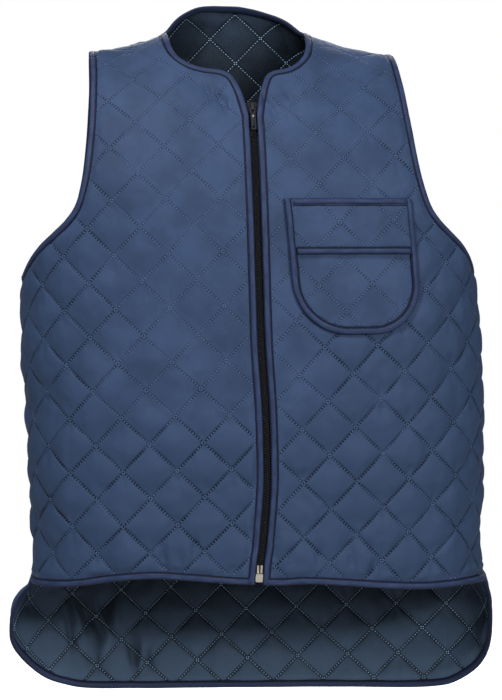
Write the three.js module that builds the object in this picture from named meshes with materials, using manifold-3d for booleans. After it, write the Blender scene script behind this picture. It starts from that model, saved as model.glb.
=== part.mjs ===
// Thermal gilet: diamond-quilted body-warmer with bound edges, a front zip, a chest pocket with a flap and
// a dropped back tail, in the shape it takes when worn, with nobody in it.
// Sizes are millimetres. The front faces -Y, the wearer's left is +X, and heights are measured from the level
// of the shoulder seams at the neck, so almost everything hangs below zero.
import * as THREE from 'three';
import Module from 'manifold-3d';
import { mergeVertices } from 'three/addons/utils/BufferGeometryUtils.js';

const wasm = await Module();
wasm.setup();

// Rows of a table with their shares turned into lengths by the size that each column follows
const sized = (rows, sizes) => rows.map((row) => Object.fromEntries(
  Object.entries(row).map(([column, share]) => [column, column in sizes ? share * sizes[column] : share]),
));

// Main sizes: from the shoulders to the front hem, from there to the lowest point of the tail, half the width
// of the chest, and the depths in front of and behind the side seams
const BODY_LENGTH = 638;
const TAIL_DROP = 167;
const BODY_HALF = 266;
const FRONT_DEPTH = 130;
const BACK_DEPTH = 105;

// Body form by height: half width, depth in front of and behind the side seams, and lean to one side
const SKIRT_LEAN = 9;
const BODY = sized([
  { height: 0.094, half: 1, front: 1, back: 1, shift: 0 },
  { height: -0.47, half: 1, front: 1, back: 1, shift: 0 },
  { height: -0.596, half: 1.011, front: 0.992, back: 0.99, shift: 0 },
  { height: -0.705, half: 1.008, front: 0.977, back: 0.981, shift: 0.222 },
  { height: -0.831, half: 1, front: 0.962, back: 0.971, shift: 0.222 },
  { height: -0.94, half: 0.985, front: 0.946, back: 0.962, shift: 0 },
  { height: -0.975, half: 0.985, front: 0.946, back: 0.962, shift: -0.222 },
  { height: -1.016, half: 1.004, front: 0.938, back: 0.962, shift: -0.444 },
  { height: -1.042, half: 1.045, front: 0.931, back: 0.952, shift: -0.778 },
  { height: -1.085, half: 1.079, front: 0.923, back: 0.933, shift: -1 },
  { height: -1.332, half: 1.083, front: 0.923, back: 0.924, shift: -1 },
], {
  height: BODY_LENGTH,
  half: BODY_HALF,
  front: FRONT_DEPTH,
  back: BACK_DEPTH,
  shift: SKIRT_LEAN,
});
const BODY_SQUARENESS = 2.7;
const CHEST_HEIGHT = -245;
const BLADE_HEIGHT = -180;

// Neck and shoulders
const SEAM_BEHIND_SIDE = 35;
const NECK_HALF = { right: 87, left: 77 };
const NECK_LOW = { right: 0, left: 5 };
const SHOULDER_HALF = { right: 179, left: 183 };
const SHOULDER_DROP = { right: 21, left: 34 };
const SHOULDER_SAG = 5;
const NAPE_RISE = 36;
const NAPE_BEHIND_SEAM = 30;
const NAPE_TRIM = 5;
const NECK_DROP = 109;
const ARMHOLE_DEPTH = { right: 284, left: 297 };

// Nape from the right end of the neck to the left one: rise above the line between them, as a share of the
// highest rise
const NAPE = [
  { across: -1.0, rise: 0.0 },
  { across: -0.85, rise: 0.46 },
  { across: -0.69, rise: 0.76 },
  { across: -0.48, rise: 0.99 },
  { across: -0.12, rise: 1.05 },
  { across: 0.1, rise: 1.02 },
  { across: 0.4, rise: 0.84 },
  { across: 0.75, rise: 0.49 },
  { across: 1.0, rise: 0.0 },
];

// Front neckline from the shoulder seam to the zip, as shares of the neck half width and of the neck drop
const NECKLINE = [
  { across: 1.0, down: 0.0 },
  { across: 0.99, down: 0.09 },
  { across: 0.963, down: 0.2 },
  { across: 0.888, down: 0.32 },
  { across: 0.738, down: 0.415 },
  { across: 0.564, down: 0.468 },
  { across: 0.327, down: 0.5 },
  { across: 0.19, down: 0.56 },
  { across: 0.105, down: 0.69 },
  { across: 0.047, down: 0.835 },
  { across: 0.0, down: 1.0 },
];

// Armhole from the shoulder end to the side seam, as shares of the way out and of the way down
const ARMHOLE = [
  { across: 0.0, down: 0.0 },
  { across: 0.005, down: 0.12 },
  { across: 0.03, down: 0.24 },
  { across: 0.065, down: 0.37 },
  { across: 0.115, down: 0.5 },
  { across: 0.175, down: 0.6 },
  { across: 0.27, down: 0.7 },
  { across: 0.41, down: 0.765 },
  { across: 0.59, down: 0.82 },
  { across: 0.76, down: 0.87 },
  { across: 0.9, down: 0.93 },
  { across: 1.0, down: 1.0 },
];

// Sideways sway of the closing line by height
const CLOSING_SWAY = 6.5;
const FRONT_SWAY = sized([
  { height: 0.094, shift: -1 },
  { height: 0, shift: -1 },
  { height: -0.091, shift: 0.385 },
  { height: -0.157, shift: 0.462 },
  { height: -0.47, shift: 0.308 },
  { height: -0.815, shift: 0.385 },
  { height: -0.917, shift: -0.308 },
  { height: -1.019, shift: -0.923 },
  { height: -1.332, shift: -0.923 },
], { height: BODY_LENGTH, shift: CLOSING_SWAY });

// Front hem from the right side seam to the left one: share of the way across and drop below the hem level
const HEM_HEIGHT = -BODY_LENGTH;
const HEM_DIP = 24;
const FRONT_HEM = sized([
  { across: -1.0, drop: 0.292 },
  { across: -0.8, drop: 0.292 },
  { across: -0.66, drop: 0.208 },
  { across: -0.52, drop: -0.042 },
  { across: -0.39, drop: -0.125 },
  { across: -0.25, drop: 0.042 },
  { across: -0.09, drop: 0.292 },
  { across: 0.06, drop: 0.417 },
  { across: 0.15, drop: 0.417 },
  { across: 0.28, drop: 0.583 },
  { across: 0.45, drop: 0.833 },
  { across: 0.6, drop: 1 },
  { across: 0.8, drop: 1 },
  { across: 1.0, drop: 1 },
], { drop: HEM_DIP });

// Tail edge from the right side seam to the left one: share of the half girth and drop below the hem level
const TAIL = sized([
  { across: -1, drop: 0.18 },
  { across: -1, drop: 0.347 },
  { across: -0.97, drop: 0.437 },
  { across: -0.925, drop: 0.515 },
  { across: -0.87, drop: 0.611 },
  { across: -0.812, drop: 0.713 },
  { across: -0.75, drop: 0.802 },
  { across: -0.685, drop: 0.856 },
  { across: -0.6, drop: 0.898 },
  { across: -0.446, drop: 0.922 },
  { across: -0.27, drop: 0.94 },
  { across: 0.19, drop: 0.976 },
  { across: 0.56, drop: 1 },
  { across: 0.71, drop: 0.988 },
  { across: 0.78, drop: 0.946 },
  { across: 0.857, drop: 0.85 },
  { across: 0.913, drop: 0.749 },
  { across: 0.957, drop: 0.653 },
  { across: 0.99, drop: 0.545 },
  { across: 1, drop: 0.455 },
  { across: 1, drop: 0.299 },
], { drop: TAIL_DROP });

// Cloth: diamond quilting over a thin filling
const QUILT_HALF_DIAGONAL = 31;
const HALF_WALL = 1;
const OUTER_PUFF = 2.4;
const INNER_PUFF = 1.5;
const PIECE_GAP = 0.4;

// Folds pressed in or out of the cloth: middle, run across and up, width and height of the fold
const FOLD_LENGTH = 40;
const FOLD_WIDTH = 10;
const FOLD_RISE = 3;
const FOLDS = sized([
  { face: 'front', across: -0.143, height: -0.129, runAcross: 0.85, runUp: -0.75, width: 0.9, rise: -0.867 },
  { face: 'front', across: 0.135, height: -0.144, runAcross: 0.75, runUp: 0.85, width: 0.9, rise: -0.867 },
  { face: 'front', across: -0.308, height: -0.937, runAcross: 0.15, runUp: 1.05, width: 1, rise: 1 },
  { face: 'front', across: -0.594, height: -0.95, runAcross: -0.25, runUp: 1.1, width: 2.2, rise: 1.667 },
  { face: 'front', across: 0.098, height: -0.969, runAcross: -0.125, runUp: 0.9, width: 0.9, rise: 0.833 },
  { face: 'front', across: 0.361, height: -0.962, runAcross: 0.15, runUp: 1, width: 1, rise: -0.833 },
  { face: 'front', across: 0.835, height: -0.878, runAcross: 0.125, runUp: 1.5, width: 1.6, rise: 1 },
  { face: 'front', across: -0.872, height: -0.815, runAcross: 0.15, runUp: 1.75, width: 1.8, rise: 1 },
  { face: 'back', across: -0.737, height: -1.15, runAcross: -0.35, runUp: 1.1, width: 1, rise: 2 },
  { face: 'back', across: -0.632, height: -1.129, runAcross: 0.3, runUp: 1, width: 0.9, rise: -1.667 },
  { face: 'back', across: -0.526, height: -1.166, runAcross: -0.2, runUp: 0.85, width: 0.9, rise: 1.333 },
], {
  across: BODY_HALF,
  height: BODY_LENGTH,
  runAcross: FOLD_LENGTH,
  runUp: FOLD_LENGTH,
  width: FOLD_WIDTH,
  rise: FOLD_RISE,
});

// Edge bindings
const BINDING_WIDTH = 8;
const BINDING_HALF_THICKNESS = 2.3;
const BINDING_RIM = 1.1;
const FRONT_GAP = 4.8;

// Chest pocket on the wearer's left, measured from its upper corner beside the zip
const POCKET = {
  across: 33,
  height: -207,
  width: 149,
  depth: 155,
  corner: 60,
  lean: 0.06,
  slope: -0.027,
};
const POCKET_BINDING_WIDTH = 9;
const POCKET_LIFT = HALF_WALL + OUTER_PUFF + PIECE_GAP;
const POCKET_WALL = 1.2;
const POCKET_PUFF = 1.3;
const POUCH_TOP = 48;
const FLAP_LENGTH = 63;
const POCKET_BINDING_HEIGHT = 4;

// One crossing of the stitch lines of each quilted piece, in half diagonals of a diamond from the middle and
// the shoulder level, or from the pocket's corner, and how tall its diamonds are for their width
const quiltStart = (across, height, tall = 1, from = { across: 0, height: 0 }) => ({
  across: from.across + across * QUILT_HALF_DIAGONAL,
  height: from.height + height * QUILT_HALF_DIAGONAL,
  tall,
});
const QUILT_START = {
  right: quiltStart(1.748, 0.461),
  left: quiltStart(1.4, 0.816),
  back: quiltStart(0, 0.942, 0.982),
  pouch: quiltStart(0.174, -4.226, 1, POCKET),
  flap: quiltStart(0.016, -0.919, 1, POCKET),
};

// Zip: two tapes behind the front edges, a coil on each, slider, puller, box and pins
const ZIP_TAPE_WIDTH = 16;
const ZIP_TAPE_THICKNESS = 0.8;
const ZIP_COIL_WIDTH = 2.8;
const ZIP_COIL_HEIGHT = 2.6;
const ZIP_HALF_GAP = 0.3;
const SLIDER_TOP = -95;
const SLIDER_LENGTH = 14;
const SLIDER_WIDTH = 8.4;
const SLIDER_THICKNESS = 5;
const BRIDGE_WIDTH = 2.6;
const BRIDGE_RISE = 3.4;
const BRIDGE_LENGTH = 8.4;
const BRIDGE_WALL = 1.2;
const PULLER_LENGTH = 28;
const PULLER_WIDTH = 5.6;
const PULLER_THICKNESS = 1.3;
const PULLER_CLEARANCE = 0.35;
const ZIP_BOX_HEIGHT = 9.5;
const ZIP_BOX_WIDTH = 8.2;
const ZIP_BOX_RISE = 3;
const ZIP_PIN_LENGTH = 9;
const ZIP_PIN_WIDTH = 2.2;

// Mesh steps
const SECTION_STEPS = 40;
const DOME_STEPS = 24;
const EDGE_STEP = 22;
const FRONT_EDGE_STEP = 34;
const POCKET_STEP = 13;

// Materials
const COLOURS = {
  cloth: { color: 0x3f4f6d, roughness: 0.78, metalness: 0 },
  binding: { color: 0x38456a, roughness: 0.72, metalness: 0 },
  tape: { color: 0x0d0f14, roughness: 0.85, metalness: 0 },
  coil: { color: 0x08090c, roughness: 0.45, metalness: 0 },
  slider: { color: 0x23262b, roughness: 0.35, metalness: 0.9 },
  nickel: { color: 0xb9b4a6, roughness: 0.3, metalness: 1 },
};

// Small number helpers
const mix = (a, b, share) => a + (b - a) * share;
const clamp = (value, low, high) => Math.min(Math.max(value, low), high);

// Smooth curve through the rows of a table, read at one place along its key column
function readTable(rows, key, at, column) {
  const direction = rows[1][key] > rows[0][key] ? 1 : -1;
  let i = 0;
  while (i < rows.length - 2 && (at - rows[i + 1][key]) * direction > 0) i += 1;
  const before = rows[Math.max(i - 1, 0)];
  const first = rows[i];
  const second = rows[i + 1];
  const after = rows[Math.min(i + 2, rows.length - 1)];
  const span = second[key] - first[key];
  const share = clamp((at - first[key]) / span, 0, 1);
  const slopeIn = (second[column] - before[column]) / (second[key] - before[key]);
  const slopeOut = (after[column] - first[column]) / (after[key] - first[key]);
  const square = share * share;
  const cube = square * share;
  return first[column] * (2 * cube - 3 * square + 1) + second[column] * (3 * square - 2 * cube)
    + (slopeIn * (cube - 2 * square + share) + slopeOut * (cube - square)) * span;
}

// Points evenly spaced along a curve given by a function of a share, at most one step apart
function evenPoints(curve, step) {
  const fine = [];
  const lengths = [0];
  for (let i = 0; i <= 160; i += 1) {
    fine.push(curve(i / 160));
    if (i > 0) {
      const step = Math.hypot(fine[i][0] - fine[i - 1][0], fine[i][1] - fine[i - 1][1]);
      lengths.push(lengths[i - 1] + step);
    }
  }
  const count = Math.max(1, Math.round(lengths[160] / step));
  const points = [];
  let at = 0;
  for (let k = 0; k <= count; k += 1) {
    const target = (lengths[160] * k) / count;
    while (at < 159 && lengths[at + 1] < target) at += 1;
    const share = clamp((target - lengths[at]) / (lengths[at + 1] - lengths[at]), 0, 1);
    points.push([mix(fine[at][0], fine[at + 1][0], share), mix(fine[at][1], fine[at + 1][1], share)]);
  }
  return points;
}

// Half section of the body from the middle to the side at one height, with lengths measured round it
const sectionCache = new Map();
function bodySection(face, height) {
  const cacheKey = `${face} ${height.toFixed(3)}`;
  if (sectionCache.has(cacheKey)) return sectionCache.get(cacheKey);
  const half = readTable(BODY, 'height', height, 'half');
  const depth = readTable(BODY, 'height', height, face);
  const across = [];
  const deep = [];
  const along = [0];
  for (let i = 0; i <= SECTION_STEPS; i += 1) {
    const angle = (i / SECTION_STEPS) * (Math.PI / 2);
    across.push(half * Math.sin(angle) ** (2 / BODY_SQUARENESS));
    deep.push(i === SECTION_STEPS ? 0 : depth * Math.cos(angle) ** (2 / BODY_SQUARENESS));
    if (i > 0) along.push(along[i - 1] + Math.hypot(across[i] - across[i - 1], deep[i] - deep[i - 1]));
  }
  const section = { across, deep, along };
  sectionCache.set(cacheKey, section);
  return section;
}

// Straight-line reading of one rising list against another, carried on past both ends
function readList(keys, values, at) {
  let low = 0;
  let high = keys.length - 1;
  while (high - low > 1) {
    const middle = (low + high) >> 1;
    if (keys[middle] <= at) low = middle;
    else high = middle;
  }
  return mix(values[low], values[high], (at - keys[low]) / (keys[high] - keys[low]));
}

// Height and set-back of the shoulder seam, and of the nape between the seams at the back
function seamLine(face, across) {
  const side = across < 0 ? 'right' : 'left';
  const neck = NECK_HALF[side];
  const past = Math.max(Math.abs(across) - neck, 0) / (SHOULDER_HALF[side] - neck);
  const tilt = clamp((across + NECK_HALF.right) / (NECK_HALF.right + NECK_HALF.left), 0, 1);
  const sagging = 4 * clamp(past, 0, 1) * (1 - clamp(past, 0, 1));
  const height = -mix(NECK_LOW.right, NECK_LOW.left, tilt)
    - (SHOULDER_DROP[side] - NECK_LOW[side]) * past - SHOULDER_SAG * sagging;
  if (face === 'front') return { height, behind: SEAM_BEHIND_SIDE };
  const share = clamp(across / neck, -1, 1);
  return {
    height: height + NAPE_RISE * readTable(NAPE, 'across', share, 'rise'),
    behind: SEAM_BEHIND_SIDE + NAPE_BEHIND_SEAM * (1 - share ** 2),
  };
}

// Rounded rise of the cloth from the chest or the shoulder blades to the seam line
function dome(face, across, deep) {
  const start = face === 'front' ? CHEST_HEIGHT : BLADE_HEIGHT;
  const seam = seamLine(face, across);
  const rise = seam.height - start;
  const lean = face === 'front' ? deep + seam.behind : deep - seam.behind;
  const ups = [];
  const backs = [];
  const along = [0];
  for (let i = 0; i <= DOME_STEPS; i += 1) {
    const angle = (i / DOME_STEPS) * (Math.PI / 2);
    ups.push(rise * Math.sin(angle));
    backs.push(lean * (1 - Math.cos(angle)));
    if (i > 0) along.push(along[i - 1] + Math.hypot(ups[i] - ups[i - 1], backs[i] - backs[i - 1]));
  }
  return { start, ups, backs, along };
}

// Place in space of a point of the cloth: across is measured round the body, up along it
function clothPoint(face, across, up) {
  const start = face === 'front' ? CHEST_HEIGHT : BLADE_HEIGHT;
  const sign = across < 0 ? -1 : 1;
  const section = bodySection(face, Math.min(up, start));
  const sideways = readList(section.along, section.across, Math.abs(across));
  let deep = readList(section.along, section.deep, Math.abs(across));
  let height = up;
  if (up > start) {
    const curve = dome(face, sign * sideways, deep);
    deep -= readList(curve.along, curve.backs, up - start);
    height = start + readList(curve.along, curve.ups, up - start);
  }
  const shift = readTable(BODY, 'height', Math.min(up, start), 'shift');
  return new THREE.Vector3(sign * sideways + shift, face === 'front' ? -deep : deep, height);
}

// Cloth coordinates of the point that is seen from the front at a place across and a height
function clothAt(face, x, z) {
  const start = face === 'front' ? CHEST_HEIGHT : BLADE_HEIGHT;
  const centred = x - readTable(BODY, 'height', Math.min(z, start), 'shift');
  const sign = centred < 0 ? -1 : 1;
  const section = bodySection(face, Math.min(z, start));
  const away = clamp(Math.abs(centred), 0, section.across[SECTION_STEPS]);
  const across = readList(section.across, section.along, away);
  if (z <= start) return [sign * across, z];
  const curve = dome(face, sign * away, readList(section.along, section.deep, across));
  const up = clamp(z - start, 0, curve.ups[DOME_STEPS]);
  return [sign * across, start + readList(curve.ups, curve.along, up)];
}

// Half girth of one face of the body at a height
function halfGirth(face, height) {
  return bodySection(face, height).along[SECTION_STEPS];
}

// Rise or dip of the named folds at a place on the cloth
function foldRise(face, across, up) {
  let rise = 0;
  for (const fold of FOLDS) {
    if (fold.face === face) {
      const run = Math.hypot(fold.runAcross, fold.runUp);
      const dx = across - fold.across;
      const dz = up - fold.height;
      const along = (dx * fold.runAcross + dz * fold.runUp) / (run * run);
      const off = (dx * fold.runUp - dz * fold.runAcross) / (run * fold.width);
      rise += fold.rise * Math.exp(-along * along * 1.6 - off * off);
    }
  }
  return rise;
}

// Point of the cloth lifted off its middle surface, outward when positive
const NORMAL_STEP = 0.5;
function lifted(face, across, up, lift) {
  const centre = clothPoint(face, across, up);
  const along = clothPoint(face, across + NORMAL_STEP, up).sub(clothPoint(face, across - NORMAL_STEP, up));
  const upward = clothPoint(face, across, up + NORMAL_STEP).sub(clothPoint(face, across, up - NORMAL_STEP));
  const normal = new THREE.Vector3().crossVectors(along, upward).normalize();
  if (face === 'back') normal.negate();
  return centre.addScaledVector(normal, lift + foldRise(face, across, up));
}

// Height of the filling between the stitch lines, from nought on a line to one in the middle of a diamond
function pillow(quilt, across, up) {
  const raised = (up - quilt.height) / quilt.tall;
  const a = (across - quilt.across + raised) / (2 * QUILT_HALF_DIAGONAL);
  const b = (across - quilt.across - raised) / (2 * QUILT_HALF_DIAGONAL);
  return Math.abs(Math.sin(Math.PI * a) * Math.sin(Math.PI * b));
}

// Loop moved inward by its own distance along each stretch; the loop runs anticlockwise
const STRAIGHT_TURN = 0.02;
function insetLoop(points, distances) {
  const count = points.length;
  return points.map((point, i) => {
    const previous = points[(i + count - 1) % count];
    const next = points[(i + 1) % count];
    const inLength = Math.hypot(point[0] - previous[0], point[1] - previous[1]);
    const outLength = Math.hypot(next[0] - point[0], next[1] - point[1]);
    const n1 = [-(point[1] - previous[1]) / inLength, (point[0] - previous[0]) / inLength];
    const n2 = [-(next[1] - point[1]) / outLength, (next[0] - point[0]) / outLength];
    const d1 = distances[(i + count - 1) % count];
    const d2 = distances[i];
    const turn = n1[0] * n2[1] - n1[1] * n2[0];
    if (Math.abs(turn) < STRAIGHT_TURN) {
      return [point[0] + ((n1[0] + n2[0]) / 2) * d1, point[1] + ((n1[1] + n2[1]) / 2) * d1];
    }
    return [
      point[0] + (d1 * n2[1] - d2 * n1[1]) / turn,
      point[1] + (d2 * n1[0] - d1 * n2[0]) / turn,
    ];
  });
}

// Edge lists joined into one closed loop, with the name of the edge that each stretch belongs to. A corner
// between a seam and a bound edge has its own rule, so that both panels of the seam place it alike.
function joinEdges(edges) {
  const points = [];
  const names = [];
  const corners = new Map();
  for (const edge of edges) {
    if (edge.corner) corners.set(points.length, edge.corner);
    for (let i = 0; i < edge.points.length - 1; i += 1) {
      points.push(edge.points[i]);
      names.push(edge.name);
    }
  }
  return { points, names, corners };
}

// Loop inset by the distance named for each edge
function insetEdges(loop, distances) {
  const spans = loop.names.map((name) => distances[name]);
  const moved = insetLoop(loop.points, spans);
  for (const [i, corner] of loop.corners) {
    const before = spans[(i + spans.length - 1) % spans.length];
    moved[i] = corner.boundFirst ? corner.place(before, spans[i]) : corner.place(spans[i], before);
  }
  return moved;
}

// Whether a point lies inside a loop, and how far it is from the nearest stretch of it
function insideLoop(loop, point) {
  let inside = false;
  for (let i = 0; i < loop.length; i += 1) {
    const a = loop[i];
    const b = loop[(i + 1) % loop.length];
    if ((a[1] > point[1]) !== (b[1] > point[1])) {
      const crossing = a[0] + ((point[1] - a[1]) / (b[1] - a[1])) * (b[0] - a[0]);
      if (point[0] < crossing) inside = !inside;
    }
  }
  return inside;
}

function distanceToLoop(loop, point) {
  let nearest = Infinity;
  for (let i = 0; i < loop.length; i += 1) {
    const a = loop[i];
    const b = loop[(i + 1) % loop.length];
    const dx = b[0] - a[0];
    const dy = b[1] - a[1];
    const share = clamp(((point[0] - a[0]) * dx + (point[1] - a[1]) * dy) / (dx * dx + dy * dy), 0, 1);
    nearest = Math.min(nearest, Math.hypot(point[0] - a[0] - dx * share, point[1] - a[1] - dy * share));
  }
  return nearest;
}

// Triangles between scattered points, by adding one point at a time to a covering triangle
const SPREAD = 0.01;
function triangulate(points) {
  const count = points.length;
  const spots = points.map((p, i) => [p[0] + SPREAD * Math.sin(i * 12.9), p[1] + SPREAD * Math.sin(i * 78.2)]);
  spots.push([-6000, -5000], [6000, -5000], [0, 9000]);
  const circle = (a, b, c) => {
    const [ax, ay] = spots[a];
    const bx = spots[b][0] - ax;
    const by = spots[b][1] - ay;
    const cx = spots[c][0] - ax;
    const cy = spots[c][1] - ay;
    const d = 2 * (bx * cy - by * cx);
    const ux = (cy * (bx * bx + by * by) - by * (cx * cx + cy * cy)) / d;
    const uy = (bx * (cx * cx + cy * cy) - cx * (bx * bx + by * by)) / d;
    return { a, b, c, x: ax + ux, y: ay + uy, reach: ux * ux + uy * uy };
  };
  let triangles = [circle(count, count + 1, count + 2)];
  const order = points.map((_, i) => i).sort((i, j) => spots[i][0] - spots[j][0]);
  for (const i of order) {
    const rim = new Map();
    const kept = [];
    for (const t of triangles) {
      const dx = spots[i][0] - t.x;
      const dy = spots[i][1] - t.y;
      if (dx * dx + dy * dy < t.reach) {
        for (const [p, q] of [[t.a, t.b], [t.b, t.c], [t.c, t.a]]) {
          if (rim.has(`${q} ${p}`)) rim.delete(`${q} ${p}`);
          else rim.set(`${p} ${q}`, [p, q]);
        }
      } else {
        kept.push(t);
      }
    }
    for (const [p, q] of rim.values()) kept.push(circle(p, q, i));
    triangles = kept;
  }
  return triangles.filter((t) => Math.max(t.a, t.b, t.c) < count).map((t) => [t.a, t.b, t.c]);
}

// Squares of the quilting grid split from a crossing to the middle of its diamond, never across
function turnDiagonals(triangles, kinds) {
  const owners = new Map();
  triangles.forEach((t, k) => {
    for (let e = 0; e < 3; e += 1) owners.set(`${t[e]} ${t[(e + 1) % 3]}`, k);
  });
  triangles.forEach((t, k) => {
    for (let e = 0; e < 3; e += 1) {
      const [p, q, r] = [t[e], t[(e + 1) % 3], t[(e + 2) % 3]];
      const other = owners.get(`${q} ${p}`);
      if (other !== undefined && other > k && kinds[p] === 'line' && kinds[q] === 'line') {
        const s = triangles[other].find((v) => v !== p && v !== q);
        const across = (kinds[r] === 'crossing' && kinds[s] === 'middle')
          || (kinds[r] === 'middle' && kinds[s] === 'crossing');
        if (across) {
          triangles[k] = [r, p, s];
          triangles[other] = [s, q, r];
          return;
        }
      }
    }
  });
  return triangles;
}

// Closed mesh from corners and faces, turned so that its faces look outward
function solidGeometry(positions, faces) {
  let volume = 0;
  for (const [a, b, c] of faces) {
    volume += positions[a].dot(new THREE.Vector3().crossVectors(positions[b], positions[c]));
  }
  const index = faces.flatMap(([a, b, c]) => (volume < 0 ? [a, c, b] : [a, b, c]));
  const geometry = new THREE.BufferGeometry();
  const numbers = positions.flatMap((p) => p.toArray());
  geometry.setAttribute('position', new THREE.Float32BufferAttribute(numbers, 3));
  geometry.setIndex(index);
  return geometry;
}

// Quilted sheet of cloth inside a loop, with both faces padded and its edge closed
function quiltedSolid(face, side, loop, quilt, layers) {
  const grid = QUILT_HALF_DIAGONAL / 2;
  const points = loop.map((p) => p.slice());
  const kinds = loop.map(() => 'edge');
  const spread = [Math.min(...loop.map((p) => p[0])), Math.max(...loop.map((p) => p[0])),
    Math.min(...loop.map((p) => p[1])), Math.max(...loop.map((p) => p[1]))];
  const rowHeight = grid * quilt.tall;
  const firstRow = Math.floor((spread[2] - quilt.height) / rowHeight);
  const lastRow = Math.ceil((spread[3] - quilt.height) / rowHeight);
  const firstColumn = Math.floor((spread[0] - side * quilt.across) / grid);
  const lastColumn = Math.ceil((spread[1] - side * quilt.across) / grid);
  for (let row = firstRow; row <= lastRow; row += 1) {
    for (let column = firstColumn; column <= lastColumn; column += 1) {
      if ((row + column) % 2 === 0) {
        const point = [side * quilt.across + column * grid, quilt.height + row * rowHeight];
        if (insideLoop(loop, point) && distanceToLoop(loop, point) > layers.margin) {
          const crossing = row % 2 === 0 && ((row + column) / 2) % 2 === 0;
          const middle = row % 2 === 0 && !crossing;
          points.push(point);
          kinds.push(crossing ? 'crossing' : middle ? 'middle' : 'line');
        }
      }
    }
  }
  const sheet = turnDiagonals(triangulate(points).filter((t) => {
    const middle = [0, 1].map((k) => (points[t[0]][k] + points[t[1]][k] + points[t[2]][k]) / 3);
    return insideLoop(loop, middle);
  }), kinds);
  const outer = [];
  const inner = [];
  points.forEach(([across, up], i) => {
    const puff = kinds[i] === 'edge' ? 0 : pillow({ ...quilt, across: side * quilt.across }, across, up);
    outer.push(lifted(face, side * across, up, layers.outer + layers.outerPuff * puff));
    inner.push(lifted(face, side * across, up, layers.inner - layers.innerPuff * puff));
  });
  const count = points.length;
  const faces = sheet.flatMap(([a, b, c]) => [[a, b, c], [a + count, c + count, b + count]]);
  loop.forEach((_, i) => {
    const next = (i + 1) % loop.length;
    faces.push([next, i, i + count], [next, i + count, next + count]);
  });
  return solidGeometry([...outer, ...inner], faces);
}

// Tube through rings of corners, closed on itself or capped at both ends
function ringSolid(rings, closed) {
  const size = rings[0].length;
  const faces = [];
  const last = closed ? rings.length : rings.length - 1;
  for (let i = 0; i < last; i += 1) {
    const here = i * size;
    const there = ((i + 1) % rings.length) * size;
    for (let k = 0; k < size; k += 1) {
      const next = (k + 1) % size;
      faces.push([here + k, here + next, there + next], [here + k, there + next, there + k]);
    }
  }
  if (!closed) {
    const end = (rings.length - 1) * size;
    for (let k = 1; k < size - 1; k += 1) {
      faces.push([0, k + 1, k], [end, end + k, end + k + 1]);
    }
  }
  return solidGeometry(rings.flat(), faces);
}

// Ring of a binding between its finished edge and its sewn edge
const BINDING_PROFILE = [
  { across: 0, lift: -BINDING_RIM },
  { across: 0, lift: BINDING_RIM },
  { across: 0.3, lift: BINDING_HALF_THICKNESS },
  { across: 1, lift: BINDING_HALF_THICKNESS * 0.8 },
  { across: 1, lift: -BINDING_HALF_THICKNESS * 0.8 },
  { across: 0.3, lift: -BINDING_HALF_THICKNESS },
];
function bindingRing(face, side, outside, inside, profile) {
  return profile.map(({ across, lift }) => lifted(
    face,
    side * mix(outside[0], inside[0], across),
    mix(outside[1], inside[1], across),
    lift,
  ));
}

// Rings of the binding along neighbouring edges of a loop
// Its ends follow the distances of the edges beside it
function bindingRings(face, side, loop, edges, beside) {
  const spread = (distance) => Object.fromEntries(edges.map((name) => [name, distance]));
  const near = insetEdges(loop, { ...beside, ...spread(0) });
  const far = insetEdges(loop, { ...beside, ...spread(BINDING_WIDTH) });
  const first = loop.names.indexOf(edges[0]);
  const count = loop.names.filter((name) => edges.includes(name)).length;
  const rings = [];
  for (let i = 0; i <= count; i += 1) {
    const at = (first + i) % loop.points.length;
    rings.push(bindingRing(face, side, near[at], far[at], BINDING_PROFILE));
  }
  return rings;
}

// Edges of the panels, measured outward from the middle of the front or of the back
const sideNames = { [-1]: 'right', 1: 'left' };
function sway(height) {
  return readTable(FRONT_SWAY, 'height', height, 'shift');
}

// Place on the shoulder seam, and on the side seam, as a panel on one side reaches it
function shoulderPlace(face, side, x) {
  const [across, up] = clothAt(face, side * x, seamLine(face, side * x).height);
  return [side * across, up];
}

function sidePlace(face, up) {
  return [halfGirth(face, up), up];
}

// Corner rules: the neck and the shoulder end on the shoulder seam, the armhole and the hem on the side seam
function panelCorners(face, side, bottom) {
  const name = sideNames[side];
  const armholeUp = -ARMHOLE_DEPTH[name];
  const onShoulder = (x, gap) => {
    const [across, up] = shoulderPlace(face, side, x);
    return [across, up - gap];
  };
  const onSide = (height, gap) => {
    const [across, up] = sidePlace(face, height);
    return [across - gap, up];
  };
  return {
    neck: (width, gap) => onShoulder(NECK_HALF[name] + width, gap),
    shoulder: (width, gap) => onShoulder(SHOULDER_HALF[name] - width, gap),
    armhole: (width, gap) => onSide(armholeUp - width, gap),
    hem: (width, gap) => onSide(bottom + width, gap),
  };
}

function shoulderSeam(face, side) {
  const name = sideNames[side];
  const run = (share) => mix(SHOULDER_HALF[name], NECK_HALF[name], share);
  return evenPoints((share) => shoulderPlace(face, side, run(share)), EDGE_STEP);
}

function sideSeam(face, side, bottom) {
  const top = -ARMHOLE_DEPTH[sideNames[side]];
  const count = Math.round((top - bottom) / EDGE_STEP);
  return Array.from({ length: count + 1 }, (_, i) => sidePlace(face, mix(bottom, top, i / count)));
}

function armholeEdge(face, side) {
  const name = sideNames[side];
  const rows = ARMHOLE.map((entry, row) => ({ ...entry, row }));
  const half = readTable(BODY, 'height', -ARMHOLE_DEPTH[name], 'half');
  const edge = evenPoints((share) => {
    const row = (rows.length - 1) * (1 - share);
    const x = mix(SHOULDER_HALF[name], half, readTable(rows, 'row', row, 'across'));
    const z = -mix(SHOULDER_DROP[name], ARMHOLE_DEPTH[name], readTable(rows, 'row', row, 'down'));
    const [across, up] = clothAt(face, side * x, z);
    return [side * across, up];
  }, EDGE_STEP);
  edge[0] = sidePlace(face, -ARMHOLE_DEPTH[name]);
  return edge;
}

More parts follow.
